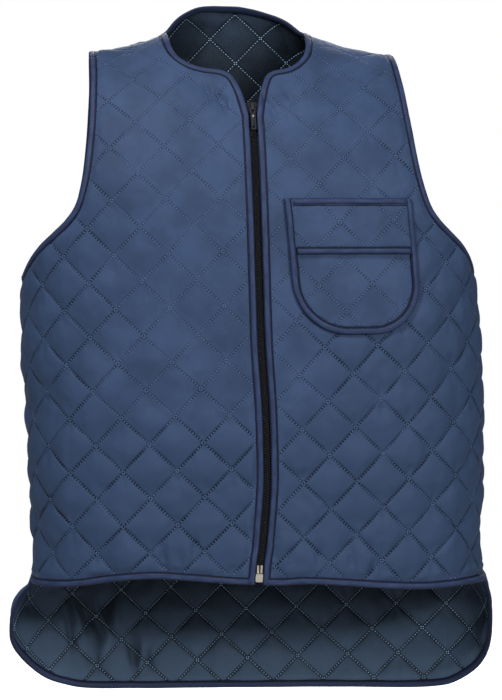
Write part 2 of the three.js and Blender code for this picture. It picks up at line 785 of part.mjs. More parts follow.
function necklineEdge(side) {
  const name = sideNames[side];
  const rows = NECKLINE.map((entry, row) => ({ ...entry, row }));
  return evenPoints((share) => {
    const row = (rows.length - 1) * share;
    const out = readTable(rows, 'row', row, 'across');
    const z = -mix(NECK_LOW[name], NECK_DROP, readTable(rows, 'row', row, 'down'));
    const centre = mix(sway(z), 0, clamp(out, 0, 1) ** 3);
    const [across, up] = clothAt('front', centre + side * mix(FRONT_GAP, NECK_HALF[name], out), z);
    return [side * across, up];
  }, POCKET_STEP);
}

// Lowest edge of a front panel, at a place across measured toward its own side
function hemHeight(side, across) {
  const girth = halfGirth('front', HEM_HEIGHT);
  return HEM_HEIGHT - readTable(FRONT_HEM, 'across', clamp((side * across) / girth, -1, 1), 'drop');
}

function sideBottom(side) {
  return hemHeight(side, halfGirth('front', HEM_HEIGHT));
}

function frontCorner(side) {
  const across = FRONT_GAP + side * sway(HEM_HEIGHT);
  return [across, hemHeight(side, across)];
}

function frontPanelLoop(side) {
  const neck = necklineEdge(side);
  const neckEnd = neck[neck.length - 1];
  const corner = frontCorner(side);
  const frontEdge = evenPoints((share) => {
    const up = mix(neckEnd[1], corner[1], share);
    return [FRONT_GAP + side * sway(clothPoint('front', 0, up).z), up];
  }, FRONT_EDGE_STEP);
  frontEdge[0] = neckEnd;
  frontEdge[frontEdge.length - 1] = corner;
  const bottom = sideBottom(side);
  const seam = sideSeam('front', side, bottom);
  const hem = evenPoints((share) => {
    const across = mix(corner[0], seam[0][0], share);
    return [across, hemHeight(side, across)];
  }, EDGE_STEP);
  hem[hem.length - 1] = seam[0];
  const rules = panelCorners('front', side, bottom);
  return joinEdges([
    {
      name: 'shoulder',
      points: shoulderSeam('front', side),
      corner: { boundFirst: true, place: rules.shoulder },
    },
    { name: 'neck', points: neck, corner: { boundFirst: false, place: rules.neck } },
    { name: 'front', points: frontEdge },
    { name: 'hem', points: hem },
    { name: 'side', points: seam, corner: { boundFirst: true, place: rules.hem } },
    { name: 'arm', points: armholeEdge('front', side), corner: { boundFirst: false, place: rules.armhole } },
  ]);
}

// Edges of the back panel, from the left shoulder over the nape and down the right side to the tail
function mirrored(points) {
  return points.map(([across, up]) => [-across, up]).reverse();
}

function backPanelLoop() {
  const nape = evenPoints((share) => {
    const x = mix(NECK_HALF.left, -NECK_HALF.right, share);
    const [across, up] = clothAt('back', x, seamLine('back', x).height);
    return [across, up - NAPE_TRIM * (1 - (x / NECK_HALF[x < 0 ? 'right' : 'left']) ** 2)];
  }, POCKET_STEP);
  const bottoms = { right: sideBottom(-1), left: sideBottom(1) };
  const seams = { right: sideSeam('back', -1, bottoms.right), left: sideSeam('back', 1, bottoms.left) };
  const rules = {
    right: panelCorners('back', -1, bottoms.right),
    left: panelCorners('back', 1, bottoms.left),
  };
  const turned = (place) => (width, gap) => {
    const [across, up] = place(width, gap);
    return [-across, up];
  };
  const stops = [
    { across: -seams.right[0][0], up: bottoms.right },
    ...TAIL.map(({ across, drop }) => ({
      across: across * halfGirth('back', HEM_HEIGHT - drop),
      up: HEM_HEIGHT - drop,
    })),
    { across: seams.left[0][0], up: bottoms.left },
  ].map((stop, row) => ({ ...stop, row }));
  const tail = evenPoints((share) => {
    const row = (stops.length - 1) * share;
    return [readTable(stops, 'row', row, 'across'), readTable(stops, 'row', row, 'up')];
  }, EDGE_STEP);
  return joinEdges([
    {
      name: 'shoulderLeft',
      points: shoulderSeam('back', 1),
      corner: { boundFirst: true, place: rules.left.shoulder },
    },
    { name: 'nape', points: nape, corner: { boundFirst: false, place: rules.left.neck } },
    {
      name: 'shoulderRight',
      points: mirrored(shoulderSeam('back', -1)),
      corner: { boundFirst: true, place: turned(rules.right.neck) },
    },
    {
      name: 'armRight',
      points: mirrored(armholeEdge('back', -1)),
      corner: { boundFirst: false, place: turned(rules.right.shoulder) },
    },
    {
      name: 'sideRight',
      points: mirrored(seams.right),
      corner: { boundFirst: true, place: turned(rules.right.armhole) },
    },
    { name: 'tail', points: tail, corner: { boundFirst: false, place: turned(rules.right.hem) } },
    { name: 'sideLeft', points: seams.left, corner: { boundFirst: true, place: rules.left.hem } },
    {
      name: 'armLeft',
      points: armholeEdge('back', 1),
      corner: { boundFirst: false, place: rules.left.armhole },
    },
  ]);
}

// Pocket places: right along the top of the pocket and down from it, to cloth coordinates of the front
function pocketPoint(right, down) {
  return [
    POCKET.across + right + POCKET.lean * down,
    POCKET.height - down + POCKET.slope * right,
  ];
}

function pocketLine(x0, y0, x1, y1) {
  const count = Math.max(1, Math.round(Math.hypot(x1 - x0, y1 - y0) / EDGE_STEP));
  return Array.from({ length: count + 1 }, (_, i) => {
    const share = i / count;
    return pocketPoint(mix(x0, x1, share), mix(y0, y1, share));
  });
}

// Pocket edge from its upper corner beside the zip, down and round its bottom and up to the other corner
const CORNER_STEPS = 6;
function pocketEdge(top, inset) {
  const radius = POCKET.corner - inset;
  const middleDown = POCKET.depth - POCKET.corner;
  const middles = [POCKET.corner, POCKET.width - POCKET.corner];
  const turn = (middle, from) => Array.from({ length: CORNER_STEPS + 1 }, (_, i) => {
    const angle = from - (Math.PI / 2) * (i / CORNER_STEPS);
    return pocketPoint(middle + radius * Math.cos(angle), middleDown + radius * Math.sin(angle));
  });
  const bottom = POCKET.depth - inset;
  return [
    ...pocketLine(inset, top, inset, middleDown).slice(0, -1),
    ...turn(middles[0], Math.PI).slice(0, -1),
    ...pocketLine(middles[0], bottom, middles[1], bottom).slice(0, -1),
    ...turn(middles[1], Math.PI / 2).slice(0, -1),
    ...pocketLine(POCKET.width - inset, middleDown, POCKET.width - inset, top),
  ];
}

// Flat-backed binding laid on the chest between two matching lines
function pocketBinding(near, far, base, height) {
  const profile = [
    { across: 0, lift: base },
    { across: 0, lift: base + height * 0.6 },
    { across: 0.3, lift: base + height },
    { across: 1, lift: base + height * 0.85 },
    { across: 1, lift: base },
  ];
  return ringSolid(near.map((point, i) => bindingRing('front', 1, point, far[i], profile)), false);
}

// Strip that follows the closing line on one side of it, between two distances from it and two heights
function zipStrip(side, top, bottom, nearest, furthest, low, high) {
  const first = Math.ceil(top / FRONT_EDGE_STEP) - 1;
  const heights = [top];
  for (let row = first; row * FRONT_EDGE_STEP > bottom + 1; row -= 1) {
    if (row * FRONT_EDGE_STEP < top - 1) heights.push(row * FRONT_EDGE_STEP);
  }
  heights.push(bottom);
  const rings = heights.map((up) => {
    const centre = sway(clothPoint('front', 0, up).z);
    return [[nearest, low], [nearest, high], [furthest, high], [furthest, low]].map(
      ([away, lift]) => lifted('front', centre + side * away, up, lift),
    );
  });
  return ringSolid(rings, false);
}

// Frame on the closing line at a height along the cloth, with its own right, up and outward directions
function zipFrame(up) {
  const centre = sway(clothPoint('front', 0, up).z);
  const place = lifted('front', centre, up, 0);
  const upward = lifted('front', centre, up + NORMAL_STEP, 0).sub(place).normalize();
  const outward = lifted('front', centre, up, 1).sub(place).normalize();
  const right = new THREE.Vector3().crossVectors(upward, outward).normalize();
  return new THREE.Matrix4().makeBasis(right, upward, outward).setPosition(place);
}

// Rounded rectangle as a path, standing on its middle
function roundedOutline(Kind, width, top, bottom, radius) {
  const half = width / 2;
  const path = new Kind();
  path.moveTo(-half + radius, bottom);
  path.lineTo(half - radius, bottom);
  path.quadraticCurveTo(half, bottom, half, bottom + radius);
  path.lineTo(half, top - radius);
  path.quadraticCurveTo(half, top, half - radius, top);
  path.lineTo(-half + radius, top);
  path.quadraticCurveTo(-half, top, -half, top - radius);
  path.lineTo(-half, bottom + radius);
  path.quadraticCurveTo(-half, bottom, -half + radius, bottom);
  return path;
}

const ROUND_STEPS = 3;
function plate(shape, depth) {
  return new THREE.ExtrudeGeometry(shape, { depth, bevelEnabled: false, curveSegments: ROUND_STEPS });
}

function toManifold(geometry) {
  const bare = geometry.clone();
  bare.deleteAttribute('normal');
  bare.deleteAttribute('uv');
  const merged = mergeVertices(bare);
  return new wasm.Manifold(new wasm.Mesh({
    numProp: 3,
    vertProperties: new Float32Array(merged.attributes.position.array),
    triVerts: new Uint32Array(merged.index.array),
  }));
}

function fromManifold(solid) {
  const mesh = solid.getMesh();
  const geometry = new THREE.BufferGeometry();
  geometry.setAttribute('position', new THREE.Float32BufferAttribute(mesh.vertProperties, 3));
  geometry.setIndex(Array.from(mesh.triVerts));
  return geometry;
}

// Slider: a body with rounded corners and a bridge along it for the puller; its top face is at height nought
function sliderGeometry() {
  const body = plate(
    roundedOutline(THREE.Shape, SLIDER_WIDTH, SLIDER_LENGTH / 2, -SLIDER_LENGTH / 2, SLIDER_WIDTH / 4),
    SLIDER_THICKNESS,
  );
  body.translate(0, 0, -SLIDER_THICKNESS);
  const half = BRIDGE_LENGTH / 2;
  const bevel = BRIDGE_WALL * 0.8;
  const arch = new THREE.Shape();
  arch.moveTo(-half, -BRIDGE_WALL);
  arch.lineTo(-half, BRIDGE_RISE - bevel);
  arch.lineTo(-half + bevel, BRIDGE_RISE);
  arch.lineTo(half - bevel, BRIDGE_RISE);
  arch.lineTo(half, BRIDGE_RISE - bevel);
  arch.lineTo(half, -BRIDGE_WALL);
  arch.lineTo(half - BRIDGE_WALL, -BRIDGE_WALL);
  arch.lineTo(half - BRIDGE_WALL, BRIDGE_RISE - BRIDGE_WALL);
  arch.lineTo(-half + BRIDGE_WALL, BRIDGE_RISE - BRIDGE_WALL);
  arch.lineTo(-half + BRIDGE_WALL, -BRIDGE_WALL);
  const bridge = plate(arch, BRIDGE_WIDTH);
  bridge.translate(0, 0, -BRIDGE_WIDTH / 2);
  bridge.applyMatrix4(new THREE.Matrix4().makeBasis(
    new THREE.Vector3(0, 1, 0),
    new THREE.Vector3(0, 0, 1),
    new THREE.Vector3(1, 0, 0),
  ));
  return fromManifold(toManifold(body).add(toManifold(bridge)));
}

// Puller: a flat frame that closes round the bridge, with a grip below it and a hole near its end
const CROSSBAR_THICKNESS = PULLER_THICKNESS;
const PULLER_WINDOW = 7;
function pullerGeometry() {
  const shape = roundedOutline(
    THREE.Shape,
    PULLER_WIDTH,
    CROSSBAR_THICKNESS / 2,
    -PULLER_LENGTH,
    PULLER_WIDTH / 4,
  );
  shape.holes.push(roundedOutline(
    THREE.Path,
    BRIDGE_WIDTH + 2 * PULLER_CLEARANCE,
    -CROSSBAR_THICKNESS / 2,
    -PULLER_WINDOW,
    PULLER_CLEARANCE,
  ));
  const hole = new THREE.Path();
  hole.absarc(0, -PULLER_LENGTH + PULLER_WIDTH * 0.55, PULLER_WIDTH / 4, 0, Math.PI * 2, true);
  shape.holes.push(hole);
  const geometry = plate(shape, PULLER_THICKNESS);
  geometry.translate(0, 0, -PULLER_THICKNESS / 2);
  return geometry;
}

// Part list
function assemble() {
  const group = new THREE.Group();
  group.name = 'thermal_gilet';
  const materials = {};
  for (const [name, look] of Object.entries(COLOURS)) {
    materials[name] = new THREE.MeshStandardMaterial({ name, ...look });
  }
  const add = (name, geometry, material) => {
    const mesh = new THREE.Mesh(geometry, materials[material]);
    mesh.name = name;
    group.add(mesh);
  };

  // Quilted panels
  const wall = {
    outer: HALF_WALL,
    outerPuff: OUTER_PUFF,
    inner: -HALF_WALL,
    innerPuff: INNER_PUFF,
    margin: EDGE_STEP / 2,
  };
  const sewn = BINDING_WIDTH + PIECE_GAP;
  const seamGap = PIECE_GAP / 2;
  const fronts = { [-1]: frontPanelLoop(-1), 1: frontPanelLoop(1) };
  const frontInsets = { shoulder: seamGap, neck: sewn, front: sewn, hem: sewn, side: seamGap, arm: sewn };
  for (const side of [-1, 1]) {
    const name = sideNames[side];
    const loop = insetEdges(fronts[side], frontInsets);
    add(`front_panel_${name}`, quiltedSolid('front', side, loop, QUILT_START[name], wall), 'cloth');
  }
  const back = backPanelLoop();
  const backInsets = {
    shoulderLeft: seamGap,
    nape: sewn + 2 * PIECE_GAP,
    shoulderRight: seamGap,
    armRight: sewn,
    sideRight: seamGap,
    tail: sewn,
    sideLeft: seamGap,
    armLeft: sewn,
  };
  add('back_panel', quiltedSolid('back', 1, insetEdges(back, backInsets), QUILT_START.back, wall), 'cloth');

  // Edge bindings
  const frontEdges = { shoulder: 0, neck: 0, front: 0, hem: 0, side: 0, arm: 0 };
  const backEdges = Object.fromEntries(Object.keys(backInsets).map((name) => [name, 0]));
  const neckRings = (side) => bindingRings('front', side, fronts[side], ['neck', 'front'], frontEdges);
  add('neck_and_front_binding', ringSolid([
    ...neckRings(1).reverse(),
    ...bindingRings('back', 1, back, ['nape'], backEdges).slice(1, -1),
    ...neckRings(-1),
  ], false), 'binding');
  for (const side of [-1, 1]) {
    const name = sideNames[side];
    const frontArm = bindingRings('front', side, fronts[side], ['arm'], frontEdges);
    const backArm = bindingRings('back', 1, back, [side < 0 ? 'armRight' : 'armLeft'], backEdges);
    if (side > 0) backArm.reverse();
    add(`armhole_binding_${name}`, ringSolid([...frontArm, ...backArm.slice(1, -1)], true), 'binding');
    const hemBeside = { ...frontEdges, front: sewn, side: seamGap };
    const hem = bindingRings('front', side, fronts[side], ['hem'], hemBeside);
    add(`front_hem_binding_${name}`, ringSolid(hem, false), 'binding');
  }
  const tailBeside = { ...backEdges, sideRight: seamGap, sideLeft: seamGap };
  const tail = bindingRings('back', 1, back, ['tail'], tailBeside);
  add('tail_binding', ringSolid(tail, false), 'binding');

  // Chest pocket
  const pocketInset = POCKET_BINDING_WIDTH + PIECE_GAP;
  const pocketSides = [pocketInset, POCKET.width - pocketInset];
  const pocketLayer = (base) => ({
    outer: base + POCKET_WALL,
    outerPuff: POCKET_PUFF,
    inner: base,
    innerPuff: 0,
    margin: EDGE_STEP / 2,
  });
  const flapBase = POCKET_LIFT + POCKET_WALL + POCKET_PUFF + PIECE_GAP;
  const pouch = [
    ...pocketEdge(POUCH_TOP, pocketInset).slice(0, -1),
    ...pocketLine(pocketSides[1], POUCH_TOP, pocketSides[0], POUCH_TOP).slice(0, -1),
  ];
  add('pocket_pouch', quiltedSolid('front', 1, pouch, QUILT_START.pouch, pocketLayer(POCKET_LIFT)), 'cloth');
  const flapTop = POCKET_BINDING_WIDTH + PIECE_GAP;
  const flapBottom = FLAP_LENGTH - BINDING_WIDTH - PIECE_GAP;
  const flap = [
    ...pocketLine(pocketSides[0], flapTop, pocketSides[0], flapBottom).slice(0, -1),
    ...pocketLine(pocketSides[0], flapBottom, pocketSides[1], flapBottom).slice(0, -1),
    ...pocketLine(pocketSides[1], flapBottom, pocketSides[1], flapTop).slice(0, -1),
    ...pocketLine(pocketSides[1], flapTop, pocketSides[0], flapTop).slice(0, -1),
  ];
  add('pocket_flap', quiltedSolid('front', 1, flap, QUILT_START.flap, pocketLayer(flapBase)), 'cloth');
  add('pocket_side_binding', pocketBinding(
    pocketEdge(0, 0),
    pocketEdge(0, POCKET_BINDING_WIDTH),
    POCKET_LIFT,
    POCKET_BINDING_HEIGHT,
  ), 'binding');
  add('flap_top_binding', pocketBinding(
    pocketLine(pocketSides[0], 0, pocketSides[1], 0),
    pocketLine(pocketSides[0], POCKET_BINDING_WIDTH, pocketSides[1], POCKET_BINDING_WIDTH),
    POCKET_LIFT,
    flapBase + POCKET_WALL + POCKET_PUFF - POCKET_LIFT,
  ), 'binding');
  add('flap_edge_binding', pocketBinding(
    pocketLine(pocketSides[0], FLAP_LENGTH, pocketSides[1], FLAP_LENGTH),
    pocketLine(pocketSides[0], FLAP_LENGTH - BINDING_WIDTH, pocketSides[1], FLAP_LENGTH - BINDING_WIDTH),
    flapBase,
    POCKET_BINDING_HEIGHT,
  ), 'binding');

  // Zip
  const tapeTop = -(HALF_WALL + INNER_PUFF + PIECE_GAP);
  const sliderUp = clothAt('front', 0, SLIDER_TOP)[1];
  const boxBottom = Math.max(frontCorner(-1)[1], frontCorner(1)[1]) + ZIP_BOX_RISE;
  const pinBottom = boxBottom + ZIP_BOX_HEIGHT + PIECE_GAP;
  const coilBottom = pinBottom + ZIP_PIN_LENGTH + PIECE_GAP;
  const coilTop = sliderUp - SLIDER_LENGTH - PIECE_GAP;
  const coilLow = tapeTop + PIECE_GAP;
  for (const side of [-1, 1]) {
    const name = sideNames[side];
    add(`zip_tape_${name}`, zipStrip(
      side,
      sliderUp,
      boxBottom,
      ZIP_HALF_GAP,
      ZIP_TAPE_WIDTH,
      tapeTop - ZIP_TAPE_THICKNESS,
      tapeTop,
    ), 'tape');
    add(`zip_coil_${name}`, zipStrip(
      side,
      coilTop,
      coilBottom,
      ZIP_HALF_GAP,
      ZIP_HALF_GAP + ZIP_COIL_WIDTH,
      coilLow,
      coilLow + ZIP_COIL_HEIGHT,
    ), 'coil');
    const pin = plate(roundedOutline(
      THREE.Shape,
      ZIP_PIN_WIDTH,
      ZIP_PIN_LENGTH,
      0,
      ZIP_PIN_WIDTH / 4,
    ), ZIP_COIL_HEIGHT);
    pin.translate(side * (ZIP_HALF_GAP + ZIP_COIL_WIDTH - ZIP_PIN_WIDTH / 2), 0, coilLow);
    add(`zip_pin_${name}`, pin.applyMatrix4(zipFrame(pinBottom)), 'nickel');
  }
  const box = plate(
    roundedOutline(THREE.Shape, ZIP_BOX_WIDTH, ZIP_BOX_HEIGHT, 0, ZIP_BOX_WIDTH / 6),
    SLIDER_THICKNESS,
  );
  box.translate(0, 0, coilLow);
  add('zip_box', box.applyMatrix4(zipFrame(boxBottom)), 'nickel');
  const sliderTopFace = coilLow + SLIDER_THICKNESS;
  const sliderFrame = zipFrame(sliderUp - SLIDER_LENGTH / 2)
    .multiply(new THREE.Matrix4().makeTranslation(0, 0, sliderTopFace));
  add('zip_slider', sliderGeometry().applyMatrix4(sliderFrame), 'slider');
  const pullerFrame = sliderFrame.clone().multiply(new THREE.Matrix4().makeTranslation(
    0,
    -BRIDGE_LENGTH / 2 + BRIDGE_WALL + PULLER_CLEARANCE + CROSSBAR_THICKNESS,
    (BRIDGE_RISE - BRIDGE_WALL) / 2,
  ));
  add('zip_puller', pullerGeometry().applyMatrix4(pullerFrame), 'slider');

  return group;
}

export default assemble();
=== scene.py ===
# Looks of the thermal gilet: quilted nylon with stitched diamonds, bound edges, a patch pocket and a zip.
# The cloth is worked out in pattern coordinates, in millimetres: across runs round the body from the middle
# of the front or of the back, up runs along the cloth, and lift is the height off its middle surface.
import math

import bmesh
import bpy
import numpy as np
from mathutils import Matrix, Vector
from mathutils.geometry import delaunay_2d_cdt


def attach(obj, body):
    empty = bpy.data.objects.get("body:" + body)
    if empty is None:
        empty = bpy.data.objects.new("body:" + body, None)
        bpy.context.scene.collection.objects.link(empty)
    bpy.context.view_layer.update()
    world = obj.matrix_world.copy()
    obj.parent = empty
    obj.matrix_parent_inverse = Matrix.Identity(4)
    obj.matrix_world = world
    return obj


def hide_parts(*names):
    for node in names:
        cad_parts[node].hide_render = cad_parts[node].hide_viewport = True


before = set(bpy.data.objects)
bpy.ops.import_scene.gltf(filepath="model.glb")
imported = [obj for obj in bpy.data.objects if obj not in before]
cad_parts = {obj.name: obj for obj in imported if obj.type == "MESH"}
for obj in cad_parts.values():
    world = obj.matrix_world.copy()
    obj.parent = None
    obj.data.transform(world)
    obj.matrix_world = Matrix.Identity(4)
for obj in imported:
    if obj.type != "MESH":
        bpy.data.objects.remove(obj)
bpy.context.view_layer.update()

BODY_NAME = "gilet"

# Camera
VIEW_DISTANCE = 3.0
VIEW_HEIGHT = -0.381
VIEW_YAW = math.radians(-4.5)
VIEW_ELEVATION = math.radians(1.5)
VIEW_ROLL = math.radians(1.9)
VIEW_LENS = 129.6


def make_camera():
    data = bpy.data.cameras.new("camera")
    data.lens = VIEW_LENS
    data.sensor_width = 36
    data.clip_start = 0.05
    data.clip_end = 100
    camera = bpy.data.objects.new("camera", data)
    bpy.context.scene.collection.objects.link(camera)
    back = Vector((
        math.sin(VIEW_YAW) * math.cos(VIEW_ELEVATION),
        -math.cos(VIEW_YAW) * math.cos(VIEW_ELEVATION),
        math.sin(VIEW_ELEVATION),
    ))
    right = Vector((math.cos(VIEW_YAW), math.sin(VIEW_YAW), 0))
    up = back.cross(right).normalized()
    turn_cos, turn_sin = math.cos(VIEW_ROLL), math.sin(VIEW_ROLL)
    side = right * turn_cos - up * turn_sin
    top = right * turn_sin + up * turn_cos
    place = Vector((0, 0, VIEW_HEIGHT)) + back * VIEW_DISTANCE
    camera.matrix_world = Matrix((
        (side.x, top.x, back.x, place.x),
        (side.y, top.y, back.y, place.y),
        (side.z, top.z, back.z, place.z),
        (0, 0, 0, 1),
    ))
    bpy.context.scene.camera = camera


make_camera()

# Form of the cloth, the same as in the solid model, in millimetres
def table(columns, rows):
    """Rows with named columns."""
    names = columns.split()
    return [dict(zip(names, row)) for row in rows]


BODY = table("height half front back shift", [
    (60, 266, 130, 105, 0),
    (-300, 266, 130, 105, 0),
    (-380, 269, 129, 104, 0),
    (-450, 268, 127, 103, 2),
    (-530, 266, 125, 102, 2),
    (-600, 262, 123, 101, 0),
    (-622, 262, 123, 101, -2),
    (-648, 267, 122, 101, -4),
    (-665, 278, 121, 100, -7),
    (-692, 287, 120, 98, -9),
    (-850, 288, 120, 97, -9),
])
BODY_SQUARENESS = 2.7
CHEST_HEIGHT = -245
BLADE_HEIGHT = -180
SEAM_BEHIND_SIDE = 35
NECK_HALF = {-1: 87, 1: 77}
NECK_LOW = {-1: 0, 1: 5}
SHOULDER_HALF = {-1: 179, 1: 183}
SHOULDER_DROP = {-1: 21, 1: 34}
SHOULDER_SAG = 5
NAPE_RISE = 36
NAPE = table("across rise", [
    (-1.0, 0.0),
    (-0.85, 0.46),
    (-0.69, 0.76),
    (-0.48, 0.99),
    (-0.12, 1.05),
    (0.1, 1.02),
    (0.4, 0.84),
    (0.75, 0.49),
    (1.0, 0.0),
])
NAPE_BEHIND_SEAM = 30
NAPE_TRIM = 5
NECK_DROP = 109
ARMHOLE_DEPTH = {-1: 284, 1: 297}
NECKLINE = table("across down", [
    (1.0, 0.0),
    (0.99, 0.09),
    (0.963, 0.2),
    (0.888, 0.32),
    (0.738, 0.415),
    (0.564, 0.468),
    (0.327, 0.5),
    (0.19, 0.56),
    (0.105, 0.69),
    (0.047, 0.835),
    (0.0, 1.0),
])
ARMHOLE = table("across down", [
    (0.0, 0.0),
    (0.005, 0.12),
    (0.03, 0.24),
    (0.065, 0.37),
    (0.115, 0.5),
    (0.175, 0.6),
    (0.27, 0.7),
    (0.41, 0.765),
    (0.59, 0.82),
    (0.76, 0.87),
    (0.9, 0.93),
    (1.0, 1.0),
])
FRONT_SWAY = table("height shift", [
    (60, -6.5),
    (0, -6.5),
    (-58, 2.5),
    (-100, 3),
    (-300, 2),
    (-520, 2.5),
    (-585, -2),
    (-650, -6),
    (-850, -6),
])
HEM_HEIGHT = -638
FRONT_HEM = table("across drop", [
    (-1.0, 7),
    (-0.8, 7),
    (-0.66, 5),
    (-0.52, -1),
    (-0.39, -3),
    (-0.25, 1),
    (-0.09, 7),
    (0.06, 10),
    (0.15, 10),
    (0.28, 14),
    (0.45, 20),
    (0.6, 24),
    (0.8, 24),
    (1.0, 24),
])
TAIL = table("across drop", [
    (-1, 30),
    (-1, 58),
    (-0.97, 73),
    (-0.925, 86),
    (-0.87, 102),
    (-0.812, 119),
    (-0.75, 134),
    (-0.685, 143),
    (-0.6, 150),
    (-0.446, 154),
    (-0.27, 157),
    (0.19, 163),
    (0.56, 167),
    (0.71, 165),
    (0.78, 158),
    (0.857, 142),
    (0.913, 125),
    (0.957, 109),
    (0.99, 91),
    (1, 76),
    (1, 50),
])
QUILT_HALF_DIAGONAL = 31
QUILT_SIDE = QUILT_HALF_DIAGONAL * math.sqrt(2)
HALF_WALL = 1
PIECE_GAP = 0.4
QUILT_START = {
    "right": (54.2, 14.3, 1),
    "left": (43.4, 25.3, 1),
    "back": (0, 29.2, 0.982),
    "pouch": (38.4, -338, 1),
    "flap": (33.5, -235.5, 1),
}
FOLDS = table("face across height runAcross runUp width rise", [
    ("front", -38, -82, 34, -30, 9, -2.6),
    ("front", 36, -92, 30, 34, 9, -2.6),
    ("front", -82, -598, 6, 42, 10, 3),
    ("front", -158, -606, -10, 44, 22, 5),
    ("front", 26, -618, -5, 36, 9, 2.5),
    ("front", 96, -614, 6, 40, 10, -2.5),
    ("front", 222, -560, 5, 60, 16, 3),
    ("front", -232, -520, 6, 70, 18, 3),
    ("back", -196, -734, -14, 44, 10, 6),
    ("back", -168, -720, 12, 40, 9, -5),
    ("back", -140, -744, -8, 34, 9, 4),
])
CREASES = table("face across height runAcross runUp width rise", [
    ("front", -34, -78, 5, -16, 3.6, -5.7),
    ("front", -27, -88, 1, -14, 3.2, -5),
    ("front", -46, -70, 4, -13, 3.6, -4),
    ("front", -17, -90, 1, -11, 3.2, -4.2),
    ("front", 48, -80, 8, -12, 3.6, -5.2),
    ("front", 26, -97, 6, -12, 3.4, -5.2),
    ("front", 18, -87, 2, -13, 3.2, -4.2),
    ("front", -116, -612, 2, -16, 3.6, -4.7),
    ("front", -98, -612, 2, -13, 3.4, -4.1),
    ("front", -81, -600, -2, -16, 3.6, -4.3),
    ("front", 29, -620, -1, -14, 3.4, -4.1),
    ("front", 62, -616, -1, -13, 3.4, -3.3),
    ("front", 100, -622, 2, -16, 3.6, -4.7),
    ("front", 124, -634, -1, -12, 3.4, -3.3),
    ("back", -219, -716, 8, -38, 4.5, 4.9),
    ("back", -206, -712, 12, -34, 4.0, -4.9),
    ("back", -193, -710, 12, -32, 4.0, 4.5),
    ("back", -180, -704, 12, -28, 4.0, -4.1),
    ("back", -168, -708, 12, -22, 4.0, 3.4),
    ("back", -142, -758, 4, -24, 4.0, 3),
    ("back", -131, -756, -4, -24, 3.6, -3),
    ("back", -121, -758, 3, -20, 3.6, 2.2),
])
BINDING_WIDTH = 8
FRONT_GAP = 4.8
POCKET = {
    "across": 33,
    "height": -207,
    "width": 149,
    "depth": 155,
    "corner": 60,
    "lean": 0.06,
    "slope": -0.027,
}
POCKET_BINDING_WIDTH = 9
POCKET_LIFT = 3.8
POCKET_WALL = 1.2
POCKET_PUFF = 1.3
POUCH_TOP = 48
FLAP_LENGTH = 63
ZIP_TAPE_WIDTH = 16
ZIP_TAPE_TOP = -2.9
ZIP_TAPE_THICKNESS = 0.8
ZIP_COIL_WIDTH = 2.8
ZIP_COIL_HEIGHT = 2.6
ZIP_HALF_GAP = 0.3
SLIDER_TOP = -95
SLIDER_LENGTH = 14
ZIP_BOX_RISE = 3
ZIP_BOX_HEIGHT = 9.5
ZIP_PIN_LENGTH = 9

# Steps of the fine surfaces
SECTION_STEPS = 120
DOME_STEPS = 48
EDGE_STEP = 3.0
BORDER_STEP = 2.6
ROWS_AT_ONCE = 6000


def read_table(rows, key, at, column):
    """Smooth curve through the rows of a table."""
    at = np.asarray(at, float)
    keys = np.array([row[key] for row in rows], float)
    values = np.array([row[column] for row in rows], float)
    direction = 1 if keys[1] > keys[0] else -1
    i = np.clip(np.searchsorted(keys[1:] * direction, at * direction, side="left"), 0, len(keys) - 2)
    before, after = np.maximum(i - 1, 0), np.minimum(i + 2, len(keys) - 1)
    span = keys[i + 1] - keys[i]
    share = np.clip((at - keys[i]) / span, 0, 1)
    slope_in = (values[i + 1] - values[before]) / (keys[i + 1] - keys[before])
    slope_out = (values[after] - values[i]) / (keys[after] - keys[i])
    square, cube = share**2, share**3
    return (
        values[i] * (2 * cube - 3 * square + 1)
        + values[i + 1] * (3 * square - 2 * cube)
        + (slope_in * (cube - 2 * square + share) + slope_out * (cube - square)) * span
    )


ANGLES = np.linspace(0, math.pi / 2, SECTION_STEPS + 1)
SECTION_ACROSS = np.sin(ANGLES) ** (2 / BODY_SQUARENESS)
SECTION_DEEP = np.maximum(np.cos(ANGLES), 0) ** (2 / BODY_SQUARENESS)
SECTION_DEEP[-1] = 0
DOME_ANGLES = np.linspace(0, math.pi / 2, DOME_STEPS + 1)


def lengths_along(x, y):
    steps = np.hypot(np.diff(x, axis=1), np.diff(y, axis=1))
    return np.concatenate([np.zeros((len(x), 1)), np.cumsum(steps, axis=1)], axis=1)


def body_section(face, height):
    half = read_table(BODY, "height", height, "half")
    depth = read_table(BODY, "height", height, face)
    across = half[:, None] * SECTION_ACROSS
    deep = depth[:, None] * SECTION_DEEP
    return across, deep, lengths_along(across, deep)


def read_rows(keys, values, at):
    i = np.clip((keys <= at[:, None]).sum(axis=1) - 1, 0, keys.shape[1] - 2)
    row = np.arange(len(at))
    share = (at - keys[row, i]) / np.maximum(keys[row, i + 1] - keys[row, i], 1e-9)
    return values[row, i] + (values[row, i + 1] - values[row, i]) * share


